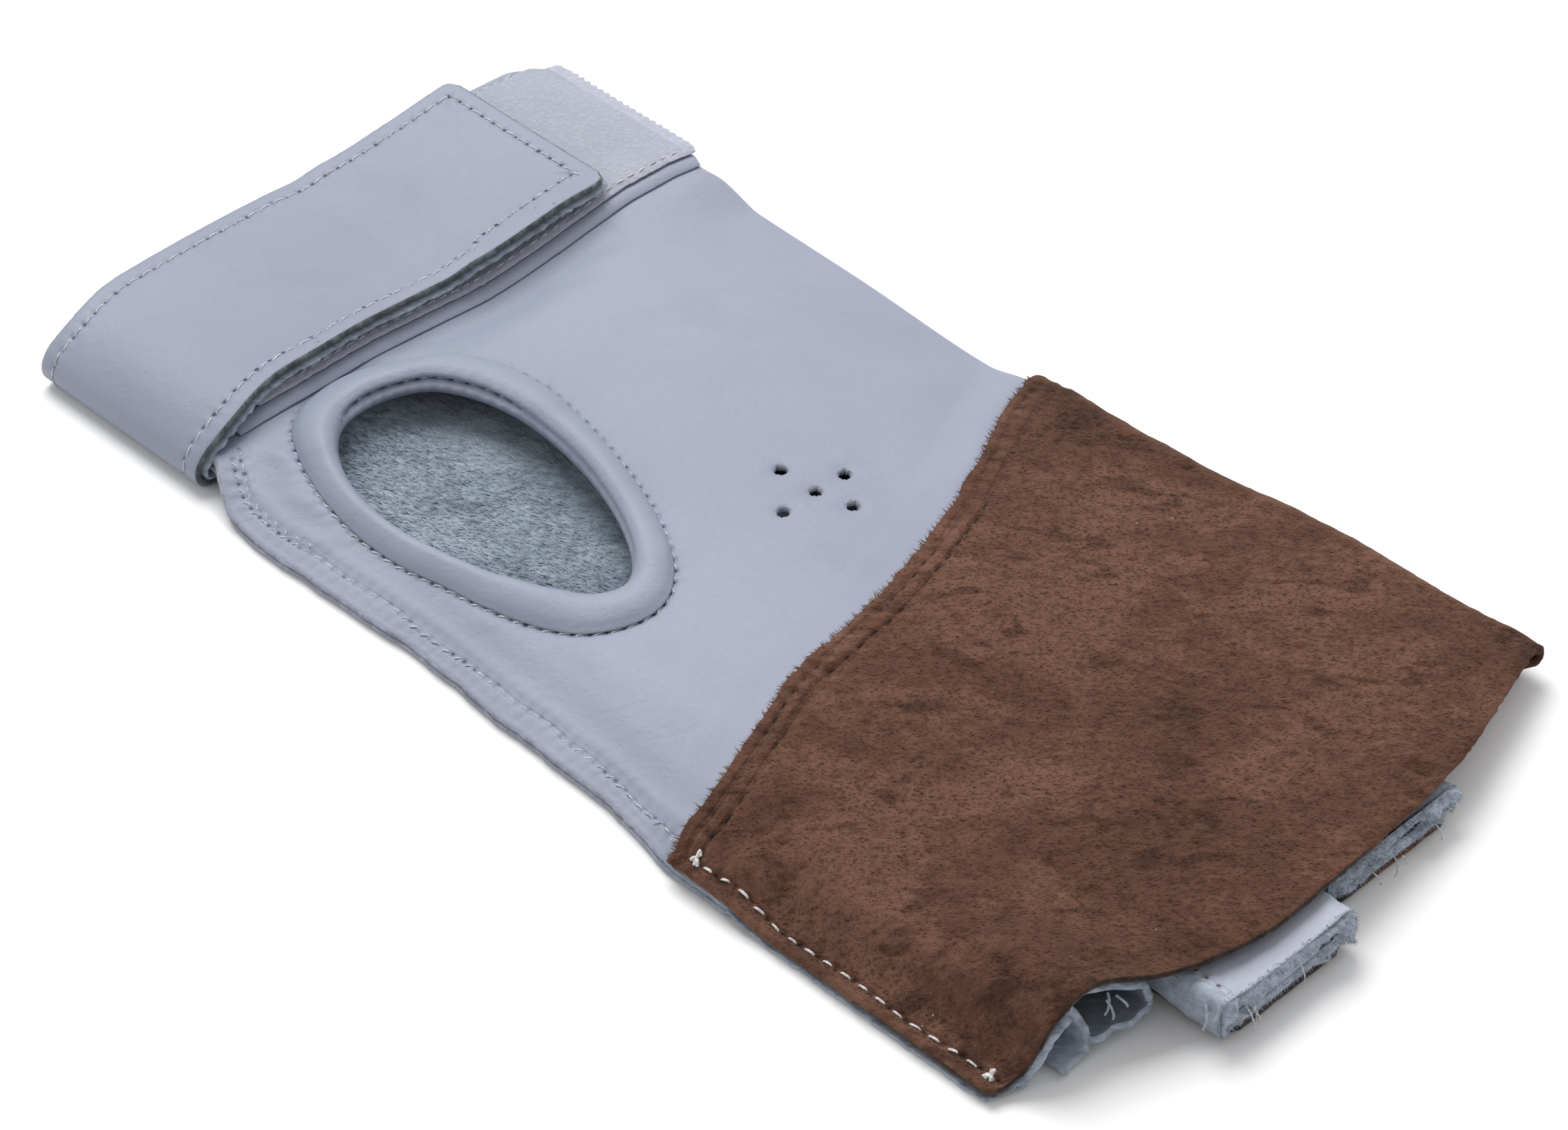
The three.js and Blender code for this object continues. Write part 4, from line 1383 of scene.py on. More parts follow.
@dataclass
class Detail:
    """Small copies scattered by a node tree."""

    name: str
    place: Route | Array
    shape: Piece
    material: Material
    slot: Slot

    def scatter(self, made: Piece, tree: Tree, inputs: dict[str, object]) -> None:
        """Runs the tree on an object with these inputs and dresses the piece."""
        run_tree(made, tree, {**inputs, "Material": self.material})
        dress(made)


@dataclass
class Sewing(Detail):
    """A row of threads along a route."""

    turn: float = 0.0
    jitter: float = 0.12
    seed: int = 1
    lift: float = 0.0

    def build(self) -> None:
        """Lays the threads."""
        line = self.place
        half = line.length / line.count / 2
        points, up = line.cut(half, line.length - half)
        points = points + up * self.lift
        mesh = bpy.data.meshes.new(self.name)
        edges = [(k, k + 1) for k in range(len(points) - 1)]
        mesh.from_pydata(((points + ORIGIN) * MM).tolist(), edges, [])
        layer = mesh.attributes.new("up", "FLOAT_VECTOR", "POINT")
        layer.data.foreach_set("vector", up.astype(np.float32).ravel())
        made = linked(self.name, mesh)
        self.scatter(made, KIT.stitches, {"Stitch": self.shape, "Count": line.count, "Turn": self.turn,
                                          "Jitter": self.jitter, "Seed": self.seed})


@dataclass
class Nap(Detail):
    """Fibres over a grid of points."""

    density: float
    lean: Triple
    stray: float
    seed: int

    def build(self) -> None:
        """Scatters the fibres."""
        body = plain_body(self.place.reshape(-1, 3), grid_quads(*self.place.shape[:2]))
        self.scatter(body.to_object(self.name, [self.material]), KIT.nap, {
            "Fibre": self.shape, "Density": self.density / MM**2, "Lean": self.lean,
            "Stray": self.stray, "Seed": self.seed})


def strands(name: str, paths: Sequence[Array], width: float, material: Material, slot: Slot) -> None:
    """Loose threads as thin tubes.

    Args:
        name: the piece's name.
        paths: corner points of each thread, (N, 3).
        width: their diameter.
        material: their finish.
        slot: their slot; not used.
    """
    points, faces, total = [], [], 0
    angle = turns(STRAND_SIDES)
    for corners in paths:
        corners = np.asarray(corners, float)
        at = np.linspace(0, len(corners) - 1, 4 * len(corners))
        path = np.stack([np.interp(at, np.arange(len(corners)), corners[:, k]) for k in range(3)], axis=1)
        path[1:-1] = (path[:-2] + path[1:-1] + path[2:]) / 3
        along = np.gradient(path, axis=0)
        along /= np.linalg.norm(along, axis=1, keepdims=True)
        side = np.cross(along, (0.2, 0.1, 1.0))
        side /= np.linalg.norm(side, axis=1, keepdims=True)
        up = np.cross(side, along)
        ring = np.cos(angle)[:, None] * side[:, None] + np.sin(angle)[:, None] * up[:, None]
        points.append((path[:, None] + ring * width / 2).reshape(-1, 3))
        ids = total + np.arange(len(path) * STRAND_SIDES).reshape(-1, STRAND_SIDES)
        ahead = np.roll(ids, -1, axis=1)
        faces.append(np.stack([ids[:-1], ahead[:-1], ahead[1:], ids[1:]], axis=-1).reshape(-1, 4))
        total += ids.size
    plain_body(np.concatenate(points), np.concatenate(faces)).piece(name, slot, [material])


@dataclass
class HandWrap:
    """Grey hide folded at one side and sewn at the other."""

    cut: float = 3.6
    stitch_pitch: float = 2.6
    ring_pitch: float = 2.7
    stitch_inset: float = 3.1
    thinned: float = 0.6
    rows_between: tuple[int, ...] = (22, 18, 92, 12, 7)
    vent_corners: int = 16

    def places(self, station: Array, across: Array) -> Array:
        """Places of the rows along the hand.

        Args:
            station: each row's station: whole numbers are the cuff, the strap's far side, where the wrap lies
                flat, where it starts to climb the sole, where it is on it, and its end under the suede.
            across: share across the hand.

        Returns:
            x of each row at each share across.
        """
        p = PATTERN
        edge = p.upper_edge(across)
        flat = np.ones_like(edge)
        knots = np.stack([p.cuff_edge(across), flat * p.cuff_end, flat * (p.cuff_end + p.cuff_fade),
                          edge - p.sole_fade, edge - p.sole_lead, edge + p.overlap])
        low = np.minimum(station.astype(int), len(knots) - 2)
        part = (station - low)[:, None]
        return knots[low] + part * (knots[low + 1] - knots[low])

    @staticmethod
    def sewn_y(x: Array, across: Array) -> Array:
        """Place across the hand with the sewn edge's slow waves."""
        wave = 0.55 * waves(x, 12, 15) + 0.2 * waves(x, 4, 16)
        return PATTERN.y_at(x, across) + wave * fade(x, 46, 54) * (1 - fade(across, 0.0, 0.08))

    def edge_route(self, start: float, end: float, inset: float, seed: int) -> Route:
        """A row of stitches along the sewn edge.

        Args:
            start: where it starts along the hand.
            end: where it ends.
            inset: its distance from the edge.
            seed: how it wanders.

        Returns:
            The row.
        """
        x = even(start, end, 0.4)
        y = PATTERN.seam_y(x) + inset + 0.3 * waves(x, 6, seed)
        return route(on_hide(x, y), self.stitch_pitch)

    def ring_route(self) -> Route:
        """Returns the row of stitches round the thumb ring."""
        spot = ring_outline(420)
        spot = np.concatenate([spot, spot[:1]])
        return route(on_hide(spot[:, 0], spot[:, 1]), self.ring_pitch)

    def build(self) -> None:
        """Makes the hide with its rows of stitches."""
        p = PATTERN
        rows = [even(k, k + 1, 1 / count) for k, count in enumerate(self.rows_between)]
        station = stations(*rows, even(2.69, 2.97, 0.0062))
        across = stations(even(0, 0.52, 0.0066), even(0.5, 0.67, 0.0044), even(0.66, 1, 0.0078))
        x = self.places(station, across)
        y = self.sewn_y(x, across)
        top = surface(x, y, wrap_height(x, p.y_at(x, across)))
        fold_x = self.places(station, np.array([1.0]))[:, 0]
        bent = fold_turn(fold_x, p.wrap_under(fold_x, 1.0), p.wrap_top(fold_x, 1.0), even(0, 1, 0.09)[1:])
        back = even(1, 0, 0.02)[1:]
        x_back = self.places(station, back)
        under = surface(x_back, self.sewn_y(x_back, back), p.wrap_under(x_back, back))
        skin = np.concatenate([top, bent, under], axis=1)
        pick = np.zeros(skin.shape[:2], bool)
        pick[:, :len(across)] = True
        keep = self.pierce(skin, Outline(p.thumb_point(turns(150), self.cut)), pick, 0.42)
        turn = turns(self.vent_corners)
        round_vent = VENT_RADIUS * np.stack([np.cos(turn), np.sin(turn)], axis=1)
        for spot in VENTS:
            keep &= self.pierce(skin, Outline(spot + round_vent), pick, 0.27)
        away = np.concatenate([across, np.ones(bent.shape[1]), back])
        wall = p.hide - self.thinned * p.pressed(skin[..., 0], away)
        body = shell(skin, wall, Rim(3, 0.3, 0.12, 1.0), keep)
        end = float(p.upper_edge(0.0)) + 2
        edge, ring = self.edge_route(p.cuff_end + 2, end, self.stitch_inset, 11), self.ring_route()
        extra = self.edge_route(p.cuff_end + 1, p.cuff_end + 26, self.stitch_inset + 1.1, 12)
        body.seams = {"seam": edge.coordinates(body.points), "seam2": ring.coordinates(body.points),
                      "seam3": extra.coordinates(body.points, 2.0)}
        body.turns = {"seam2": ring.count}
        rows = [Row("seam", self.stitch_pitch, (0.3, 0.26), 0.75, (0.12, 0.8), 0.07),
                Row("seam2", self.ring_pitch, (0.36, 0.34), 0.9, (0.08, 0.9), 0.07),
                Row("seam3", self.stitch_pitch, (0.28, 0.26), 0.7, (0.08, 0.7), 0.05)]
        leather = GrainLeather().make("hand leather", rows)
        body.piece("hand_hide", Slot.GREY, [leather, KIT.flesh, KIT.edge], "hand_wrap")
        Sewing("edge_stitches", edge, KIT.hair, KIT.pale, Slot.GREY, turn=0.35, jitter=0.4, seed=3).build()
        Sewing("extra_stitches", extra, KIT.hair, KIT.pale, Slot.GREY, turn=-0.6, jitter=0.4, seed=5).build()
        Sewing("ring_stitches", ring, KIT.fine, KIT.pale, Slot.GREY, turn=0.35, seed=4).build()
        x, y = even(51, 121, 1.5)[:, None], even(-47, -7, 1.5)
        floor = p.wrap_under(x, p.across_at(x, y + 0 * x)) + p.hide
        Nap("palm_nap", surface(x, y, floor), KIT.lock, KIT.nap_light, Slot.GREY, 3.0, (-1.1, -0.7, -0.5),
            0.7, 6).build()

    @staticmethod
    def pierce(skin: Array, outline: Outline, pick: Array, reach: float) -> Array:
        """Cuts an outline out of the top panel's grid.

        Args:
            skin: the grid, whose points near the outline are moved onto it.
            outline: what is cut out.
            pick: the points of the top panel.
            reach: how near a point has to be to move.

        Returns:
            Which faces stay.
        """
        gap = np.where(pick, outline.gap(skin[..., 0], skin[..., 1], 3.0), FAR)
        near = np.abs(gap) < reach
        foot = outline.nearest(skin[near][:, :2])[0]
        skin[near] = on_hide(foot[:, 0], foot[:, 1])
        gap = np.where(near, 0.0, gap)
        middle = (gap[:-1, :-1] + gap[1:, :-1] + gap[1:, 1:] + gap[:-1, 1:]) / 4
        return middle > 1e-3


@dataclass
class ThumbBinding:
    """Padded roll round the thumb hole, with its inner lip."""

    gap: float = 0.4
    rest: float = 2.6
    steps: int = 260
    fill: float = 0.7
    groove_rise: float = 0.35
    scallops: int = 60
    inner_pitch: float = 2.9

    # Section: distance outwards as shares of the width and height over the hide
    section: Table = field(default_factory=lambda: {
        "out": (1.04, 0.99, 0.84, 0.58, 0.32, 0.1, 0.0, 0.05, 0.16, 0.27, 0.3, 0.65),
        "rise": (-0.42, 0.42, 1.36, 2.02, 2.0, 1.05, -0.6, -1.85, -2.45, -2.05, 0.0, -0.42),
    })

    def ring(self, turn: Array, out: Array, rise: Array) -> Array:
        """Points of the roll.

        Args:
            turn: turns round the hole, (R, 1).
            out: distance outwards as a share of the width.
            rise: height over the hide.

        Returns:
            The points.
        """
        turn, out, rise = np.broadcast_arrays(turn, out, rise)
        out = out * ring_width(turn)
        spot = PATTERN.thumb_point(turn, out)
        base = PATTERN.thumb_point(turn, np.maximum(out, self.rest))
        x, y = base[..., 0], base[..., 1]
        hide = PATTERN.wrap_top(x, PATTERN.across_at(x, y)) + lie(x, y)
        return surface(spot[..., 0], spot[..., 1], hide + rise + self.gap)

    def profile(self, count: int = 44) -> tuple[Array, Array]:
        """Smooth section of the roll.

        Args:
            count: how many points it has.

        Returns:
            Distance outwards as a share of the width, and height over the hide.
        """
        points = np.stack([self.section["out"], self.section["rise"]], axis=1)
        size = len(points)
        at = np.linspace(0, size, count, endpoint=False)
        k = at.astype(int)
        u = (at - k)[:, None]
        a, b, c, d = (points[(k + n) % size] for n in (-1, 0, 1, 2))
        loop = 0.5 * (2 * b + (c - a) * u + (2 * a - 5 * b + 4 * c - d) * u**2
                      + (3 * b - a - 3 * c + d) * u**3)
        return loop[:, 0], loop[:, 1]

    def groove(self, turn: Array) -> Array:
        """Depth of the groove along the far inner side."""
        share = np.degrees(turn) % 360
        deep = fade(share, 108, 122) * (1 - fade(share, 182, 205))
        thin = fade(share, 15, 40) * (1 - fade(share, 108, 125))
        return deep + 0.45 * thin

    def build(self) -> None:
        """Makes the roll and its inner stitches."""
        turn = turns(self.steps)[:, None]
        out, rise = self.profile()
        middle = PATTERN.thumb_point(turn, 4.0)
        spot = surface(middle[..., 0], middle[..., 1], 0)
        top = fade(rise, -0.4, 0.9)
        puff = top * (0.26 * lumps(spot, 9, 21) + 0.12 * lumps(spot, 4, 22))
        inner = 1 - fade(out, 0.28, 0.42)
        groove = self.groove(turn) * inner
        into = groove * (0.9 * bump(rise, self.groove_rise, 0.42) - 0.12 * bump(rise, -0.7, 0.6))
        inner_route = self.inner_route()
        scallop = 0.16 * groove * bump(rise, -0.5, 0.6) * np.cos(turn * self.scallops)
        points = self.ring(turn, out + (into - scallop) / 7, rise + puff)
        ids = np.arange(points.shape[0] * points.shape[1]).reshape(points.shape[:2])
        ahead = np.roll(ids, -1, axis=0)
        quads = np.stack([ids, np.roll(ids, -1, axis=1), np.roll(ahead, -1, axis=1), ahead], axis=-1)
        body = plain_body(points.reshape(-1, 3), quads.reshape(-1, 4))
        body.seams = {"seam": inner_route.coordinates(body.points, 3.0)}
        rows = [Row("seam", self.inner_pitch, (0.5, 0.36), 0.95, (0.2, 0.7), 0.05)]
        leather = GrainLeather().make("roll leather", rows)
        body.piece("thumb_roll", Slot.GREY, [leather], "thumb_binding")
        Sewing("roll_stitches", inner_route, KIT.fine, KIT.pale, Slot.GREY, turn=0.3, jitter=0.25, seed=8,
               lift=0.08).build()

    def inner_route(self) -> Route:
        """Returns the bold stitches along the far inner side's groove."""
        turn = np.radians(np.linspace(200, 112, 180))
        out = 0.12 + 0.07 * self.groove(turn)
        points = self.ring(turn, out, np.full_like(turn, self.groove_rise))
        away = PATTERN.thumb_point(turn, 0.0) - PATTERN.thumb_point(turn, 1.0)
        return route(points, self.inner_pitch, surface(0.75 * away[:, 0], 0.75 * away[:, 1], 0.66))


def strip(x_from: float, x_to: float, start: float, lift: float, thickness: float, share: float,
          pitch: float = 0.8) -> tuple[Array, Array]:
    """Grid of a strip that lies along the cuff and turns partly round the fold.

    Args:
        x_from: near edge.
        x_to: far edge.
        start: share across where it starts.
        lift: gap below it.
        thickness: its thickness.
        share: share of the half turn that it covers.
        pitch: spacing of the grid.

    Returns:
        The skin's points and the thickness at each.
    """
    p = PATTERN
    across = even(start, 1, pitch / ACROSS)
    t = even(0, 1, pitch / (x_to - x_from))[:, None]
    near = np.maximum(x_from + p.skew(across), x_from / 2 + p.cuff_edge(across))
    x = lerp(near, x_to, t)
    top = on_wrap(x, across)
    end = x[:, -1]
    turn = fold_turn(end, p.wrap_under(end, 1.0), p.wrap_top(end, 1.0), even(0, share, 0.03)[1:])
    base = np.concatenate([top, turn], axis=1)
    thin = 1 - 0.6 * fade(t * (x_to - x_from), x_to - x_from - 1.6, x_to - x_from)
    low = lift * (thin if lift < thickness else 1.0)
    skin = base + grid_normals(base) * (low + thickness * thin)[..., None]
    past = np.clip(1 - np.linspace(1, 0, base.shape[1]) * ACROSS / 2.6, 0, 1)
    skin[..., 0] += (1 - 2 * t) * 1.6 * (1 - np.sqrt(1 - past**2))
    return skin, np.broadcast_to(thickness * thin, skin.shape[:2])


@dataclass
class Cuff:
    """Facing band along the cuff with the loop tape on it."""

    margin: float = 1.2
    selvage: float = 1.1
    pitch: float = 2.6

    def build(self) -> None:
        """Makes the band and the tape."""
        p = PATTERN
        skin, wall = strip(0, p.band_width + 0.8, 0.06, p.gap, p.band_hide, 0.2)
        body = shell(skin, wall, Rim(3, 0.45, 0.05))
        near = self.along(1.3, p.gap + p.band_hide)
        body.seams = {"seam": near.coordinates(body.points)}
        rows = [Row("seam", self.pitch, (0.4, 0.26), 0.5, (0.12, 0.6))]
        leather = GrainLeather().make("cuff leather", rows)
        body.piece("cuff_facing", Slot.GREY, [leather, KIT.flesh, leather], "cuff_band")
        Sewing("cuff_stitches", near, KIT.fine, KIT.pale, Slot.GREY, seed=31, lift=-0.05).build()
        margin = (p.strap_width - p.loop_width) / 2 + p.cuff_margin
        lift = 2 * p.gap + p.band_hide
        reach = margin + p.loop_width + self.margin
        skin, wall = strip(margin, reach, 0.115, lift, p.loop, 0.22, 0.6)
        end = np.linspace(1, 0, skin.shape[1]) * 103
        scallop = 0.22 * np.cos(skin[..., 0] * 2 * math.pi / 1.7) * (1 - fade(end, 0.2, 1.6))
        selvage = 0.35 * (1 - fade(end, 1.6, 2.1)) + scallop
        nap = 0.03 * lumps(skin, 2.4, 41) + selvage
        skin = skin + grid_normals(skin) * nap[..., None]
        tape = shell(skin, wall, Rim(3, 0.5, 0.08, 0.9, 5))
        spot = tape.points[tape.quads].mean(axis=1)
        pale = (spot[:, 1] > p.fold_y(spot[:, 0]) + self.selvage) | (spot[:, 0] > reach - 0.9)
        tape.skins[pale] = 3
        tape.piece("loop_pile", Slot.TAPE, [KIT.pile] * 3 + [KIT.selvage], "loop_tape")
        low = self.along(reach - 1.1, lift + p.loop - 0.05)
        Sewing("tape_stitches", low, KIT.hair, KIT.white, Slot.TAPE, turn=0.05, seed=33).build()

    def along(self, x: float, lift: float) -> Route:
        """Returns a row along the cuff at x, over the top panel."""
        across = even(0.08, 1.0, 0.4 / ACROSS)
        at = np.maximum(x + PATTERN.skew(across), x / 2 + PATTERN.cuff_edge(across) + 0.5)
        return route(on_wrap(at, across, lift), self.pitch)


@dataclass
class WristStrap:
    """Strap leather with its rough lining, from under the wrist round the sewn edge and over the top."""

    inset: float = 2.9
    pitch: float = 2.9
    corner: float = 2.2
    bend_low: float = 3.3
    ease: float = 0.11
    edge_lift: float = 1.1

    def top(self, x: Array, across: Array) -> Array:
        """Strap's top, eased over the tapes' start and lifted at its finger side.

        Args:
            x: place along the hand.
            across: share across the hand.

        Returns:
            Its points.
        """
        points = on_strap(x, across)
        points[..., 2] = self.fall(x, across, across * PATTERN.hand_width)
        lifted = self.edge_lift * fade(x, 31, 40) * fade(across, 0.05, 0.2) * (1 - fade(across, 0.72, 0.83))
        points[..., 2] += lifted
        return points

    @property
    def reach(self) -> float:
        """How far the bend stands out from the sewn edge."""
        return PATTERN.strap_clearance + PATTERN.strap_stack - PATTERN.gap

    def fall(self, x: Array, across: Array, inside: Array) -> Array:
        """Height of the upper side, which falls in one arc from the tapes to the bend.

        Args:
            x: place along the hand.
            across: share across.
            inside: distance in from the sewn edge in millimetres.

        Returns:
            The height.
        """
        land = on_strap(x, np.maximum(across, self.ease))[..., 2]
        share = np.clip((inside + self.reach) / (self.reach + self.ease * PATTERN.hand_width), 0, 1)
        return lerp(self.bend_low, land, np.sqrt(1 - (1 - share) ** 2))

    def bend(self, x: Array, turn: Array) -> Array:
        """Bend round the sewn edge.

        Args:
            x: place along the hand.
            turn: share of the bend, from the floor to the top.

        Returns:
            Its points.
        """
        p = PATTERN
        out = self.reach * np.sin(turn * math.pi) ** 0.8
        low = self.bend_low * (1 - np.cos(turn * math.pi))
        rise = np.where(turn < 0.5, low, self.fall(x, 0.0 * turn, -out))
        return surface(x + p.strap_skew, p.seam_y(x) - out, rise)

    def grid(self) -> Array:
        """Returns the strap's skin from under the wrist, round the bend and over the top."""
        p = PATTERN
        t = even(0, 1, 0.8 / p.strap_width)[:, None] * p.strap_width
        below = even(p.strap_root, 0.05, 0.02)
        low = surface(t + p.strap_skew, p.y_at(t, below), 0)
        bend = self.bend(t, even(0, 1, 0.05))
        above = stations(even(0.004, 0.06, 0.004), even(0.06, p.strap_end, 0.0068))
        past = 1 - np.clip((p.strap_end - above) * ACROSS / self.corner, 0, 1)
        round_off = self.corner * (1 - np.sqrt(np.clip(1 - past**2, 0, 1)))
        middle = p.strap_width / 2
        x = middle + (t - middle) * (1 - round_off / middle)
        high = self.top(x, above)
        return np.concatenate([low, bend, high], axis=1)

    def rim_route(self) -> Route:
        """Returns the row of stitches along both sides and the end of the upper part."""
        p = PATTERN
        end = p.strap_end - self.inset / ACROSS
        low, high = self.inset, p.strap_width - self.inset
        across = even(0.01, end, 0.4 / ACROSS)
        jog = 2.0 * (fade(across, 0.575, 0.6))
        side = even(low + 1, high - 1, 0.4)
        x = np.concatenate([low + 0 * across, side, (high - jog)[::-1]])
        c = np.concatenate([across, end + 0 * side, across[::-1]])
        ragged = 0.18 * lumps(surface(x, c * ACROSS, 0), 7, 51)
        turn = even(0.12, 0.97, 0.035)
        up = surface(0, -np.sin(turn * math.pi), -np.cos(turn * math.pi))
        bend = [self.bend(np.full_like(turn, at), turn) for at in (low, high)]
        points = np.concatenate([bend[0], self.top(x + ragged, c), bend[1][::-1]])
        flat = np.tile([0.0, 0.0, 1.0], (len(x), 1))
        return route(points, self.pitch, np.concatenate([up, flat, up[::-1]]))

    def build(self) -> None:
        """Makes the strap, its lining and its stitches."""
        p = PATTERN
        skin = self.grid()
        normal = grid_normals(skin)
        body = shell(skin, p.strap_hide, Rim(3, 0.35, 0.06, 0.8, 7), normals=normal)
        row = self.rim_route()
        body.seams = {"seam": row.coordinates(body.points)}
        holes = Row("seam", self.pitch, (0.44, 0.38), 0.95, (0.05, 0.8), 0.04)
        leather = GrainLeather((0.232, 0.256, 0.33, 1), (0.256, 0.281, 0.355, 1))
        finish = leather.make("strap leather", [holes])
        burnt = CutEdge((0.05, 0.058, 0.064, 1), (0.17, 0.19, 0.205, 1)).make("burnished edge")
        body.piece("strap_leather", Slot.GREY, [finish, KIT.flesh, burnt], "wrist_strap")
        under = skin - normal * (p.strap_hide + p.gap)
        lining = shell(under, p.lining, Rim(4, 0.9, 0.35, 0.8, 9), normals=normal)
        lining.piece("strap_felt", Slot.ROUGH, [KIT.flesh] * 3, "strap_lining")
        Sewing("strap_stitches", row, KIT.slack, KIT.pale, Slot.GREY, turn=0.1, seed=12).build()
        low = p.strap_hide + p.gap + 0.5 * p.lining
        edge = (skin - normal * low)[-1]
        fringe = np.stack([edge, edge + (0.25, 0, -0.55)])
        Nap("strap_fringe", fringe, KIT.short, KIT.nap_light, Slot.ROUGH,
            9.0, (0.6, -0.3, -0.3), 0.9, 13).build()


@dataclass
class SuedeCover:
    """Brown suede over the fingers: top flap, round fold and sole with finger tabs."""

    edge_pitch: float = 3.5
    rows_at: Pair = (2.2, 5.0)
    cut_from: float = 0.84
    cut_to: float = 0.56
    curl_rise: float = 2.4
    bevel: float = 0.6
    left_inset: float = 1.7
    pitches: Pair = (3.3, 3.6)
    knot_width: float = 0.66
    knot: tuple = ((0.9, 0.012), (0.1, 0.025), (-0.6, 0.013), (0.5, 0.023), (0.4, 0.011))

    def relief(self, x: Array, across: Array) -> Array:
        """Height of the nap's clumps, the gathers at the upper edge and the seams' valleys.

        Args:
            x: place along the hand.
            across: share across the hand.

        Returns:
            The height.
        """
        y = PATTERN.y_at(x, across)
        spot = surface(x, y, 0)
        inside = x - PATTERN.upper_edge(across)
        clumps = 0.12 * lumps(spot, 2.4, 61) + 0.1 * lumps(spot, 1.2, 62) + 0.22 * lumps(spot, 7, 63)
        pleat = lumps(surface(x * 0.4, y, 0), 2.2, 64)
        gathered = 0.16 * pleat * (1 - fade(inside, 4, 9))
        seams = sum(0.34 * bump(inside, at, 0.8) for at in self.rows_at)
        left = y - PATTERN.seam_y(x)
        thinned = 0.35 * (1 - fade(inside, 0.0, 1.6))
        return 0.3 + clumps + gathered - seams - thinned - 0.3 * bump(left, self.left_inset, 0.8)

    def curl(self, x: Array, across: Array) -> Array:
        """Height by which the folded corner at the finger end curls up."""
        end = PATTERN.length
        return self.curl_rise * fade(x, 0.74 * end, 0.945 * end) * fade(across, 0.82, 1.0)

    def top(self, x: Array, across: Array) -> Array:
        """Points of the flap's top with its relief."""
        points = on_flap(x, across)
        points[..., 2] += self.relief(x, across) + self.curl(x, across)
        return points

    def across_row(self, inset: float, pitch: float) -> Route:
        """Returns a row along the raw upper edge."""
        across = even(0.02, 0.995, 0.4 / ACROSS)
        wander = 0.35 * lumps(surface(across * ACROSS, 0, inset), 8, 66)
        return route(self.top(PATTERN.upper_edge(across) + inset + wander, across), pitch)

    def left_row(self) -> Route:
        """Returns the white running stitch along the sewn edge."""
        x = even(float(PATTERN.upper_edge(0.0)) + 5, float(PATTERN.free_edge(0.03)) - 1.5, 0.4)
        across = (self.left_inset + 0.3 * waves(x, 11, 67)) / ACROSS
        return route(self.top(x, across), self.edge_pitch)

    def build(self) -> None:
        """Makes the cover, its stitches and its nap."""
        p = PATTERN
        along = even(0, 1, 1 / 108)[:, None]
        across = stations(even(0, 0.09, 0.0045), even(0.09, 1, 0.0068))
        ragged = 0.2 * waves(across * ACROSS, 1.3, 71) + 0.25 * waves(across * ACROSS, 6, 72)
        upper, free = p.upper_edge(across), p.free_edge(across)
        x = lerp(upper, free, along) + ragged * (1 - fade(along, 0, 0.04))
        top = self.top(x, across)
        fold_x = x[:, -1]
        high = p.flap_top(fold_x, 1.0) + self.relief(fold_x, 1.0)
        turn = fold_turn(fold_x, 0 * high, high, even(0, 1, 0.08)[1:])
        turn[..., 2] += self.curl(fold_x, 1.0)[:, None]
        parts, gaps = [], []
        for start, end, tip in reversed(list(zip(*SOLE_TABS.values()))):
            c = even(end, start, 0.011)[1 if end == 1.0 else 0:]
            parts.append(np.broadcast_arrays(c, tip, (start + end) / 2, (end - start) / 2))
            gaps.append(len(c))
        c, tip, middle, half = (np.concatenate(v) for v in zip(*parts))
        corner = 2.6 * fade(np.abs(c - middle) / half, 0.86, 1.0)
        x_sole = lerp(p.upper_edge(c), p.length * tip - corner, along)
        root = p.slot_root * p.length
        squeeze = (p.slot_width / 2 / ACROSS) / half * fade(x_sole, root, root + 5)
        free_side = (c < 0.999) & (c > 0.016)
        c_sole = c + np.where(free_side, (middle - c) * squeeze, 0)
        sole = surface(x_sole, p.y_at(x_sole, c_sole), self.curl(x_sole, c_sole))
        skin = np.concatenate([top, turn, sole], axis=1)
        keep = np.ones((skin.shape[0] - 1, skin.shape[1] - 1), bool)
        first = top.shape[1] + turn.shape[1]
        for edge in np.cumsum(gaps)[:-1]:
            keep[:, first + edge - 1] = x_sole[1:, edge] < root
        normal = grid_normals(skin)
        normal[:, first:] = (0, 0, -1)
        wall = np.full(skin.shape[:2], p.suede)
        wall[:, :top.shape[1]] -= self.bevel * fade(along, 0.975, 1.0)
        body = shell(skin, wall, Rim(4, 0.25, 0.16, 0.8, 73), keep, normals=normal)
        first_row, second_row = (self.across_row(*row) for row in zip(self.rows_at, self.pitches))
        left = self.left_row()
        lines = {"seam": first_row, "seam2": second_row, "seam3": left}
        body.seams = {name: line.coordinates(body.points) for name, line in lines.items()}
        rows = [Row("seam", self.pitches[0], (0.8, 0.26), 0.85, (0.3, 1.0), 0.1),
                Row("seam2", self.pitches[1], (1.0, 0.24), 0.85, (0.3, 0.9), 0.1),
                Row("seam3", self.edge_pitch, (0.6, 0.36), 0.9, (0.3, 0.9), 0.1)]
        finish = Suede().make("suede", rows)
        inside = Suede((0.1, 0.05, 0.037, 1)).make("suede inside")
        burnt = CutEdge((0.018, 0.011, 0.009, 1), (0.06, 0.034, 0.025, 1)).make("suede cut")
        spot = body.points[body.quads].mean(axis=1)
        side = p.across_at(spot[:, 0], spot[:, 1])
        cut = (body.skins == 2) & (spot[:, 0] > self.cut_from * p.length) & (side < self.cut_to)
        cut &= (spot[:, 1] > p.seam_y(spot[:, 0]) + 0.9) | (spot[:, 2] < p.suede + 0.2)
        body.skins[cut] = 3
        body.piece("suede", Slot.SUEDE, [finish, inside, finish, burnt], "suede_cover")
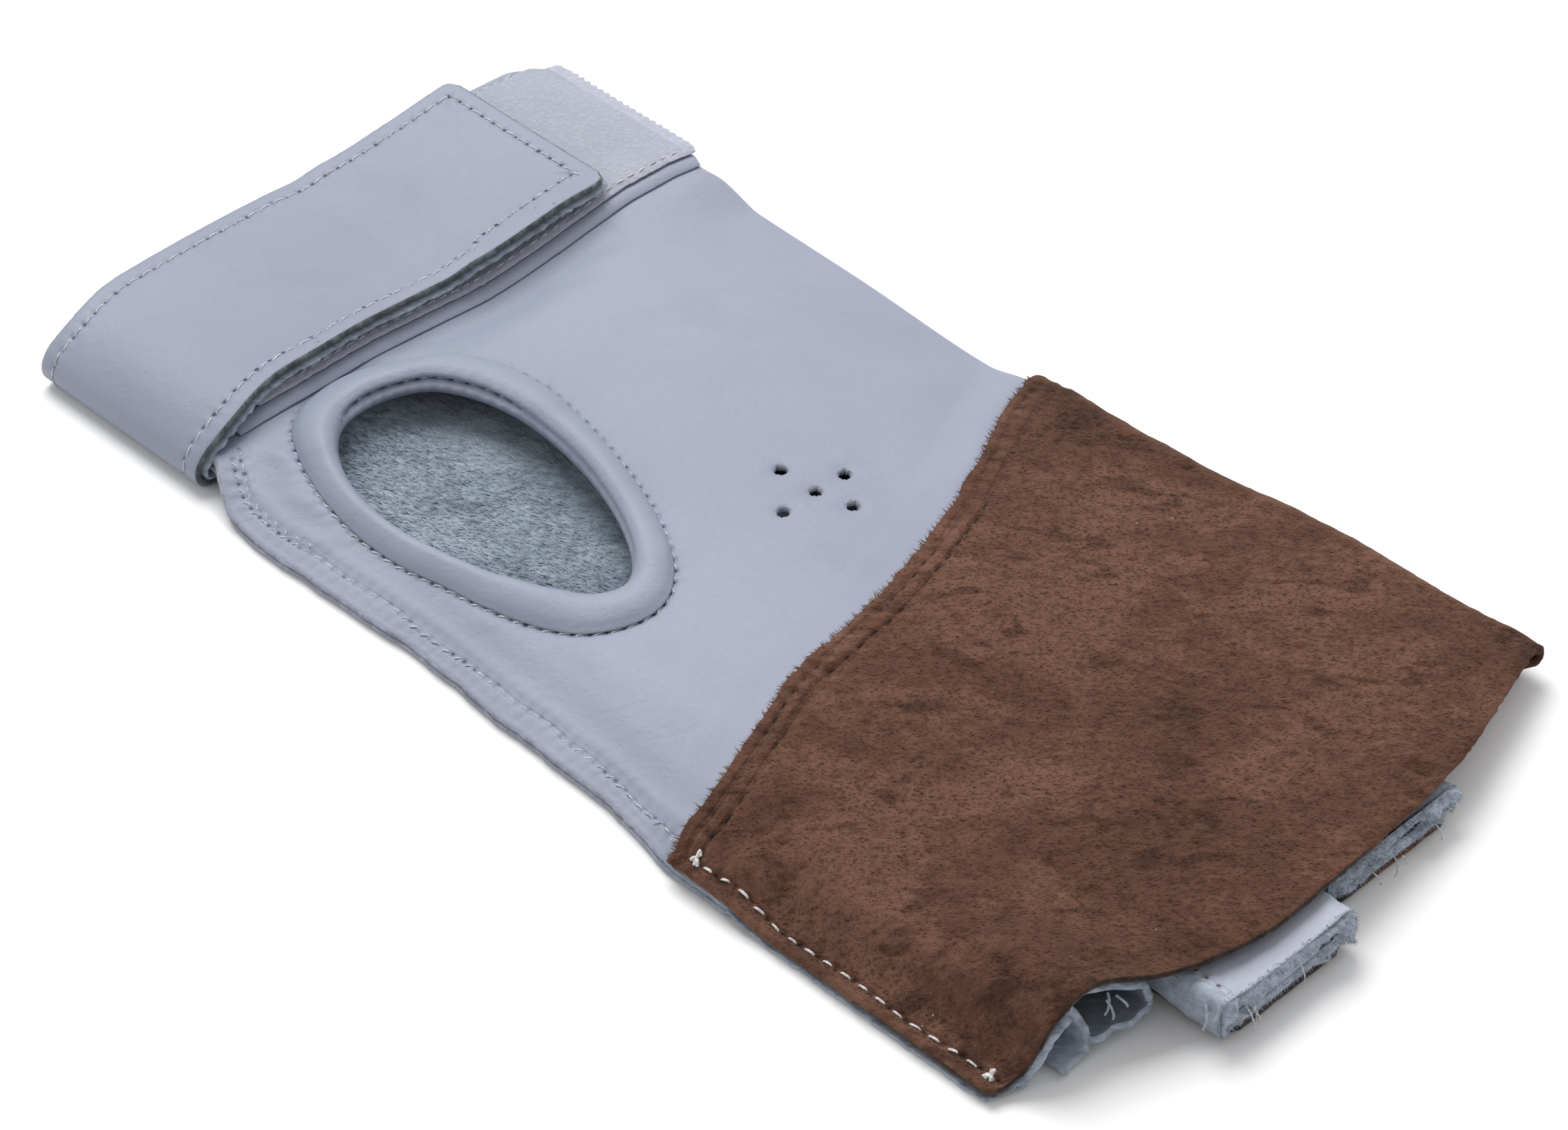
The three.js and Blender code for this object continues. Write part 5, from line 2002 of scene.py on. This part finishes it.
        for name, line, seed in (("upper_stitches", first_row, 21), ("second_stitches", second_row, 22)):
            Sewing(name, line, KIT.fine, KIT.dark, Slot.SUEDE, turn=0.1, seed=seed, lift=-0.3).build()
        Sewing("suede_edge_stitches", left, KIT.dash, KIT.white, Slot.SUEDE, turn=0.08, jitter=0.2, seed=23,
               lift=0.02).build()
        self.grow(Suede((0.15, 0.076, 0.053, 1)).make("suede nap"))
        self.knots()

    def grow(self, finish: Material) -> None:
        """Makes the nap on the flap and the fringe along its raw upper edge.

        Args:
            finish: the suede's material.
        """
        p = PATTERN
        across = even(0.002, 1, 0.014)
        x = lerp(p.upper_edge(across) + 0.6, p.free_edge(across) - 0.4, even(0, 1, 0.02)[:, None])
        Nap("suede_nap", self.top(x, across), KIT.short, finish, Slot.SUEDE,
            3.4, (0.8, 0.8, -0.25), 0.75, 25).build()
        x = p.upper_edge(across) + even(-0.1, 0.9, 0.5)[:, None]
        Nap("suede_fringe", self.top(x, across) - (0, 0, 0.25), KIT.fibre, finish, Slot.SUEDE, 7.0,
            (-1.3, -0.2, -0.8), 0.8, 26).build()
        Nap("suede_tufts", self.top(x, across) - (0, 0, 0.2), KIT.tuft, finish, Slot.SUEDE, 2.2,
            (-1.3, -0.5, -0.5), 1.0, 27).build()

    def knots(self) -> None:
        """Makes the white knots at both ends of the sewn edge's row."""
        ends = ((float(PATTERN.upper_edge(0.0)) + 4.0, 1), (float(PATTERN.free_edge(0.01)) - 2.2, -1))
        paths = []
        for x, way in ends:
            middle = self.top(np.array([x]), np.array([0.018]))[0]
            for dx, across in self.knot:
                tip = self.top(np.array([x + way * dx]), np.array([across]))[0]
                paths.append([middle - (0, 0, 0.1), (middle + tip) / 2 + (0, 0, 0.22), tip])
        strands("suede_knots", paths, self.knot_width, KIT.white, Slot.SUEDE)


@dataclass
class FingerStall:
    """A flattened padded tube for one finger, its mouth pinched and its raw rims thick."""

    name: str
    start: float
    end: float
    tip: float
    height: float
    wall: float
    pinch: float
    seed: int
    count: int = 170
    dish: float = 0.4
    rim_rise: float = 0.35
    rims: Pair = (0.085, 0.945)
    layers: int = 10
    pitch: float = 2.2

    def section(self, low: float, high: float) -> tuple[Array, Array]:
        """Returns share across and height of a flattened tube's section between two heights."""
        c, s = -np.cos(turns(self.count)), -np.sin(turns(self.count))
        share = 0.5 + 0.5 * np.sign(c) * np.abs(c) ** 0.24
        return share, (low + high) / 2 + (high - low) / 2 * np.sign(s) * np.abs(s) ** 0.42

    def points(self, x: Array, section: tuple[Array, Array], inset: float = 2.4) -> Array:
        """Points of the tube at each x for a section, some way in from its sides."""
        a = PATTERN.y_at(x, self.start) + inset
        b = PATTERN.y_at(x, self.end) - inset
        return surface(x, lerp(a, b, section[0]), PATTERN.sole_stack + section[1])

    def skins(self, share: Array, z: Array, rows: int) -> Array:
        """Material of each face of the outer tube: smooth on top between its rims, rough elsewhere."""
        top = PATTERN.stall_height * self.height
        rough = (share < self.rims[0]) | (share > self.rims[1]) | (z < 0.62 * top)
        return np.tile(np.where(rough, 2, 0), (rows - 1, 1)).ravel()

    def build(self) -> None:
        """Makes the stall."""
        p = PATTERN
        count = self.count
        tip = self.tip * p.length
        x = even(p.stall_root * p.length, tip, 0.7)[:, None]
        top = p.stall_height * self.height
        share, z = self.section(0, top)
        outer = self.points(x, (share, z), 0)
        end = fade(x, tip - 22, tip - 6)
        upper = fade(z, 0.7 * top, 0.95 * top)
        edges = np.maximum(bump(share, 0.03, 0.055), 0.7 * bump(share, 0.975, 0.04))
        middle = fade(share, 0.06, 0.22) * (1 - fade(share, 0.8, 0.95))
        outer[..., 2] += end * upper * self.height * (self.rim_rise * edges - self.dish * middle)
        inner = self.points(x, self.section(self.wall * top, (1 - 0.9 * self.wall) * top))
        centre = self.points(x, self.section(0.46 * top, 0.54 * top))
        shut = fade(lumps(surface(0 * inner[..., 1], inner[..., 1], 0), 4.5, self.seed + 6), -0.15, 0.4)
        inner = lerp(inner, centre, (self.pinch * shut * fade(x, tip - 8, tip - 1))[..., None])
        near = fade(x, tip - 9, tip)[..., None]
        rough = (0.32 * lumps(outer, 5, self.seed) + 0.22 * lumps(outer, 1.8, self.seed + 1))[..., None]
        sides = 1 - (fade(share, 0.05, 0.13) * (1 - fade(share, 0.9, 0.96)) * fade(z, 0.5 * top, 0.8 * top))
        way = (outer - inner) / np.linalg.norm(outer - inner, axis=-1, keepdims=True)
        outer = outer + way * rough * np.maximum(near, 0.9 * sides[:, None] * end[..., None])
        low = 1 - fade(z, 0.1 * top, 0.5 * top)
        drop = p.sole_stack - 0.5
        sag = drop * low * fade(0.07 - np.minimum(share, 1.4 * (1 - share)), 0.0, 0.05) * end
        outer[..., 2] = np.maximum(outer[..., 2], p.sole_stack + 0.02) - sag
        rows = outer.shape[0]
        ids = np.arange(rows * count).reshape(rows, count)
        size = ids.size
        ahead = np.roll(ids, -1, axis=1)
        tube = np.stack([ids[:-1], ids[1:], ahead[1:], ahead[:-1]], axis=-1).reshape(-1, 4)
        faces = [tube, tube[:, ::-1] + size]
        skins = [self.skins(share, z, rows), np.ones(len(tube), int)]
        points, front, total = [outer.reshape(-1, 3), inner.reshape(-1, 3)], [], 2 * size
        for row, flip in ((0, True), (rows - 1, False)):
            loops = [ids[row]]
            for k in range(1, self.layers):
                part = k / self.layers
                ring = lerp(outer[row], inner[row], part)
                bulge = 0.75 * math.sin(math.pi * part) ** 0.45
                ridge = 0.5 * bump(ring[:, 2], p.sole_stack + 0.62 * top, 0.9)
                noise = 1.05 * lumps(ring, 1.9, self.seed + 3) + 0.6 * lumps(ring, 0.8, self.seed + 4)
                ring[:, 0] += (-1 if flip else 1) * (bulge + ridge + noise * part**0.3)
                points.append(ring)
                front.append(ring)
                loops.append(total + np.arange(count))
                total += count
            loops.append(ids[row] + size)
            for near_loop, far_loop in zip(loops, loops[1:]):
                band = np.stack([near_loop, far_loop, np.roll(far_loop, -1), np.roll(near_loop, -1)], axis=1)
                faces.append(band if flip else band[:, ::-1])
                skins.append(np.full(len(band), 2))
        body = Body(np.concatenate(points), np.concatenate(faces), np.concatenate(skins))
        at = even(tip - 16, tip - 1.2, 0.4)
        y = lerp(p.y_at(at, self.start), p.y_at(at, self.end), self.rims[0] + 0.015)
        line = route(surface(at, y, p.sole_stack + top + 0.1), self.pitch)
        body.seams = {"seam": line.coordinates(body.points, 2.0)}
        holes = Row("seam", self.pitch, (0.34, 0.34), 0.95, (0.2, 0.8), 0.05)
        pale = GrainLeather((0.39, 0.41, 0.49, 1), (0.43, 0.45, 0.53, 1))
        leather = pale.make(f"{self.name} leather", [holes])
        body.piece(f"{self.name}_leather", Slot.ROUGH, [leather, KIT.flesh, KIT.rough], f"{self.name}_stall")
        face = np.stack([outer[-2], outer[-1]] + front[self.layers - 1:])[:, ::-1]
        Nap(f"{self.name}_nap", face, KIT.short, KIT.rough, Slot.ROUGH, 5.0, (0.2, 0, -0.3), 1.0,
            self.seed).build()


# Thread ends at the finger ends: start and end in the pattern, and how high the middle arches
THREADS: Table = {
    "x0": (242.6, 242.9, 243.0, 241.9, 236.5, 236.9, 237.2, 236.8, 241.2, 240.4, 229.4, 228.9, 229.6),
    "y0": (-27.4, -26.6, -25.9, -15.5, 8.6, 13.2, 14.6, 22.8, -31.6, -33.4, -42.0, -41.2, -40.2),
    "z0": (6.2, 6.0, 5.8, 6.6, 3.4, 3.6, 3.2, 3.8, 8.8, 8.6, 7.8, 8.4, 7.6),
    "x1": (243.9, 244.0, 243.7, 243.6, 237.4, 237.9, 237.6, 237.7, 242.0, 241.6, 230.5, 229.6, 230.9),
    "y1": (-26.2, -24.9, -26.0, -15.0, 9.8, 12.4, 15.4, 23.6, -33.4, -35.0, -41.6, -42.4, -39.0),
    "z1": (0.7, 1.0, 1.8, 2.4, 0.6, 0.8, 1.1, 0.7, 6.2, 5.4, 4.4, 5.2, 5.4),
    "arch": (0.6, 0.5, 0.4, 0.6, 0.5, 0.6, 0.4, 0.5, 0.5, 0.4, 0.5, 0.5, 0.4),
}


# How many of them, at the end, are torn leather, and both kinds' widths
TORN, THREAD_WIDTH, TORN_WIDTH = 5, 0.26, 0.42


def thread_ends() -> None:
    """Makes the loose threads at the finger ends."""
    paths = []
    for x0, y0, z0, x1, y1, z1, arch in zip(*THREADS.values()):
        a, b = np.array((x0, y0, z0)), np.array((x1, y1, z1))
        paths.append([a, lerp(a, b, 0.35) + (arch, 0, 0.2), lerp(a, b, 0.75) + (0.6 * arch, 0.2, 0.0), b])
    strands("finger_threads", paths[:-TORN], THREAD_WIDTH, KIT.pale, Slot.ROUGH)
    strands("torn_ends", paths[-TORN:], TORN_WIDTH, KIT.rough, Slot.ROUGH)


@dataclass
class IndexStall:
    """Crumpled index stall of two curled sheets, with the gusset that hangs above it."""

    hide: float = 1.4
    gusset_hide: float = 1.7
    slant: float = 0.4
    near_tip: float = 229.8
    far_tip: Pair = (229.8, 232.3)

    def curl(self, table: Table, tips: Pair, under: float, seed: int) -> Body:
        """One curled sheet.

        Args:
            table: its section at the mouth.
            tips: how far it reaches at its first and its last side across.
            under: how much room it leaves under the flap.
            seed: which raggedness.

        Returns:
            The body.
        """
        p = PATTERN
        step = even(0, 10, 0.11)
        y = column(table, "step", "y", step)
        z = column(table, "step", "z", step)
        side = (y - y.min()) / (y.max() - y.min())
        front = lerp(tips[0], tips[1], side) - self.slant * (z - 1.5)
        front = front + 0.5 * lumps(surface(y, z, 0), 2.6, seed)
        x = lerp(p.stall_root * p.length, front, even(0, 1, 0.02)[:, None])
        share = p.across_at(self.near_tip, y)
        ceiling = p.flap_top(x, share) + lie(x, p.y_at(x, share)) - p.suede - under
        base = p.sole_stack * (1 - fade(x, 215, 221))
        wave = 0.25 * lumps(surface(x, y, z), 6, seed + 2)
        height = np.minimum(np.maximum(z + wave, base + 0.15), np.maximum(ceiling, base + self.hide + 0.2))
        skin = surface(x, p.y_at(x, share), height)
        return shell(skin, self.hide, Rim(5, 0.3, 0.32, 1.1, seed + 1))

    def build(self) -> None:
        """Makes the stall and the gusset."""
        p = PATTERN
        # The inside skin is the lighter nap flesh; in the near curl it is painted light on a hollow that lies
        # in shade.
        skins = [KIT.rough, KIT.nap_light, KIT.rough]
        near = self.curl(NEAR_CURL, (self.near_tip, self.near_tip), 2 * p.gap + self.gusset_hide, 81)
        near.piece("index_leather", Slot.ROUGH, skins, "index_stall")
        far = self.curl(FAR_CURL, self.far_tip, 2 * p.gap, 87)
        # The far curl's inside is a darker flesh: painted shade for the hollow under the flap.
        deep = FleshLeather((0.125, 0.15, 0.175, 1), (0.21, 0.24, 0.27, 1), (0.055, 0.068, 0.08, 1))
        far.piece("index_curl", Slot.ROUGH, [KIT.rough, deep.make("deep flesh side"), KIT.rough])
        c = even(-0.003, 0.098, 0.004)
        t = even(0, 1, 0.012)[:, None]
        edge = p.free_edge(c) - 0.2
        x = lerp(p.upper_edge(c) + p.overlap + 1, edge, t)
        y = p.y_at(x, c)
        skin = surface(x, y, p.flap_top(x, np.maximum(c, 0)) + lie(x, y) - p.suede - 0.1)
        wall = np.broadcast_to(lerp(0.32, self.gusset_hide, fade(c, 0.02, 0.055)), x.shape)
        body = shell(skin, wall, Rim(5, 0.45, 0.22, 0.9, 83))
        body.piece("gusset", Slot.ROUGH, skins, "index_gusset")


# Picture


@dataclass
class Studio:
    """White floor, light and camera."""

    azimuth: float = 45.0
    elevation: float = 40.0
    distance: float = 769.2
    lens: float = 111.1
    target: Triple = (1.739, -1.027, 0.0)
    room_light: float = 0.5
    lamps: tuple = (("key", (-0.62, 0.3, 1.1), 0.9, 16.0), ("fill", (0.3, 0.9, 0.8), 1.2, 3.0),
                    ("front", (-0.55, -0.85, 0.45), 0.9, 1.6))

    def build(self) -> None:
        """Sets up the picture."""
        scene = bpy.context.scene
        bpy.ops.mesh.primitive_plane_add(size=6, location=(0, 0, -0.0004))
        floor = bpy.context.object
        floor.name = "floor"
        floor.data.materials.append(Finish((0.93, 0.93, 0.93, 1)).make("white paper"))
        world = bpy.data.worlds.new("white room")
        world.use_nodes = True
        for socket, value in zip(world.node_tree.nodes["Background"].inputs, ((1, 1, 1, 1), self.room_light)):
            socket.default_value = value
        scene.world = world
        for lamp in self.lamps:
            self.lamp(*lamp)
        a, e = math.radians(self.azimuth), math.radians(self.elevation)
        back = Vector((math.sin(a) * math.cos(e), -math.cos(a) * math.cos(e), math.sin(e)))
        data = bpy.data.cameras.new("camera")
        data.lens = self.lens
        data.sensor_width = 36
        data.clip_start = 0.01
        camera = linked("camera", data)
        camera.location = Vector(self.target) * MM + back * self.distance * MM
        camera.rotation_euler = back.to_track_quat("Z", "Y").to_euler()
        scene.camera = camera
        scene.view_settings.view_transform = "Standard"
        scene.view_settings.exposure = 0.0

    @staticmethod
    def lamp(name: str, place: Triple, size: float, power: float) -> None:
        """Adds an area light that faces the glove.

        Args:
            name: its name.
            place: where it hangs, in metres.
            size: its side.
            power: its watts.
        """
        data = bpy.data.lights.new(name, "AREA")
        data.size = size
        data.energy = power
        light = linked(name, data)
        light.location = place
        light.rotation_euler = Vector(place).to_track_quat("Z", "Y").to_euler()


FINGERS = (
    FingerStall("middle", 0.247, 0.481, 1.0175, 1.04, 0.38, 0.95, 91),
    FingerStall("ring", 0.5, 0.736, 0.9885, 0.84, 0.36, 0.95, 95),
    FingerStall("little", 0.752, 0.915, 0.925, 0.5, 0.3, 0.6, 99),
)


def hook_tape() -> None:
    """Makes the plain hook tape under the strap's free end."""
    p = PATTERN
    across = even(p.hook_start, p.strap_end - 0.02, 0.02)
    x = even(3.5, 36.5, 2.0)[:, None]
    lift = p.tape_stack + p.gap + p.hook
    shell(on_wrap(x, across, lift), p.hook).piece("hook_pile", Slot.TAPE, [KIT.pile] * 3, "hook_tape")


def main() -> None:
    """Builds the glove and its picture."""
    logging.basicConfig(level=logging.INFO, format="%(name)s: %(message)s")
    Studio().build()
    HandWrap().build()
    ThumbBinding().build()
    Cuff().build()
    WristStrap().build()
    hook_tape()
    SuedeCover().build()
    IndexStall().build()
    for finger in FINGERS:
        finger.build()
    thread_ends()


if __name__ == "__main__":
    main()
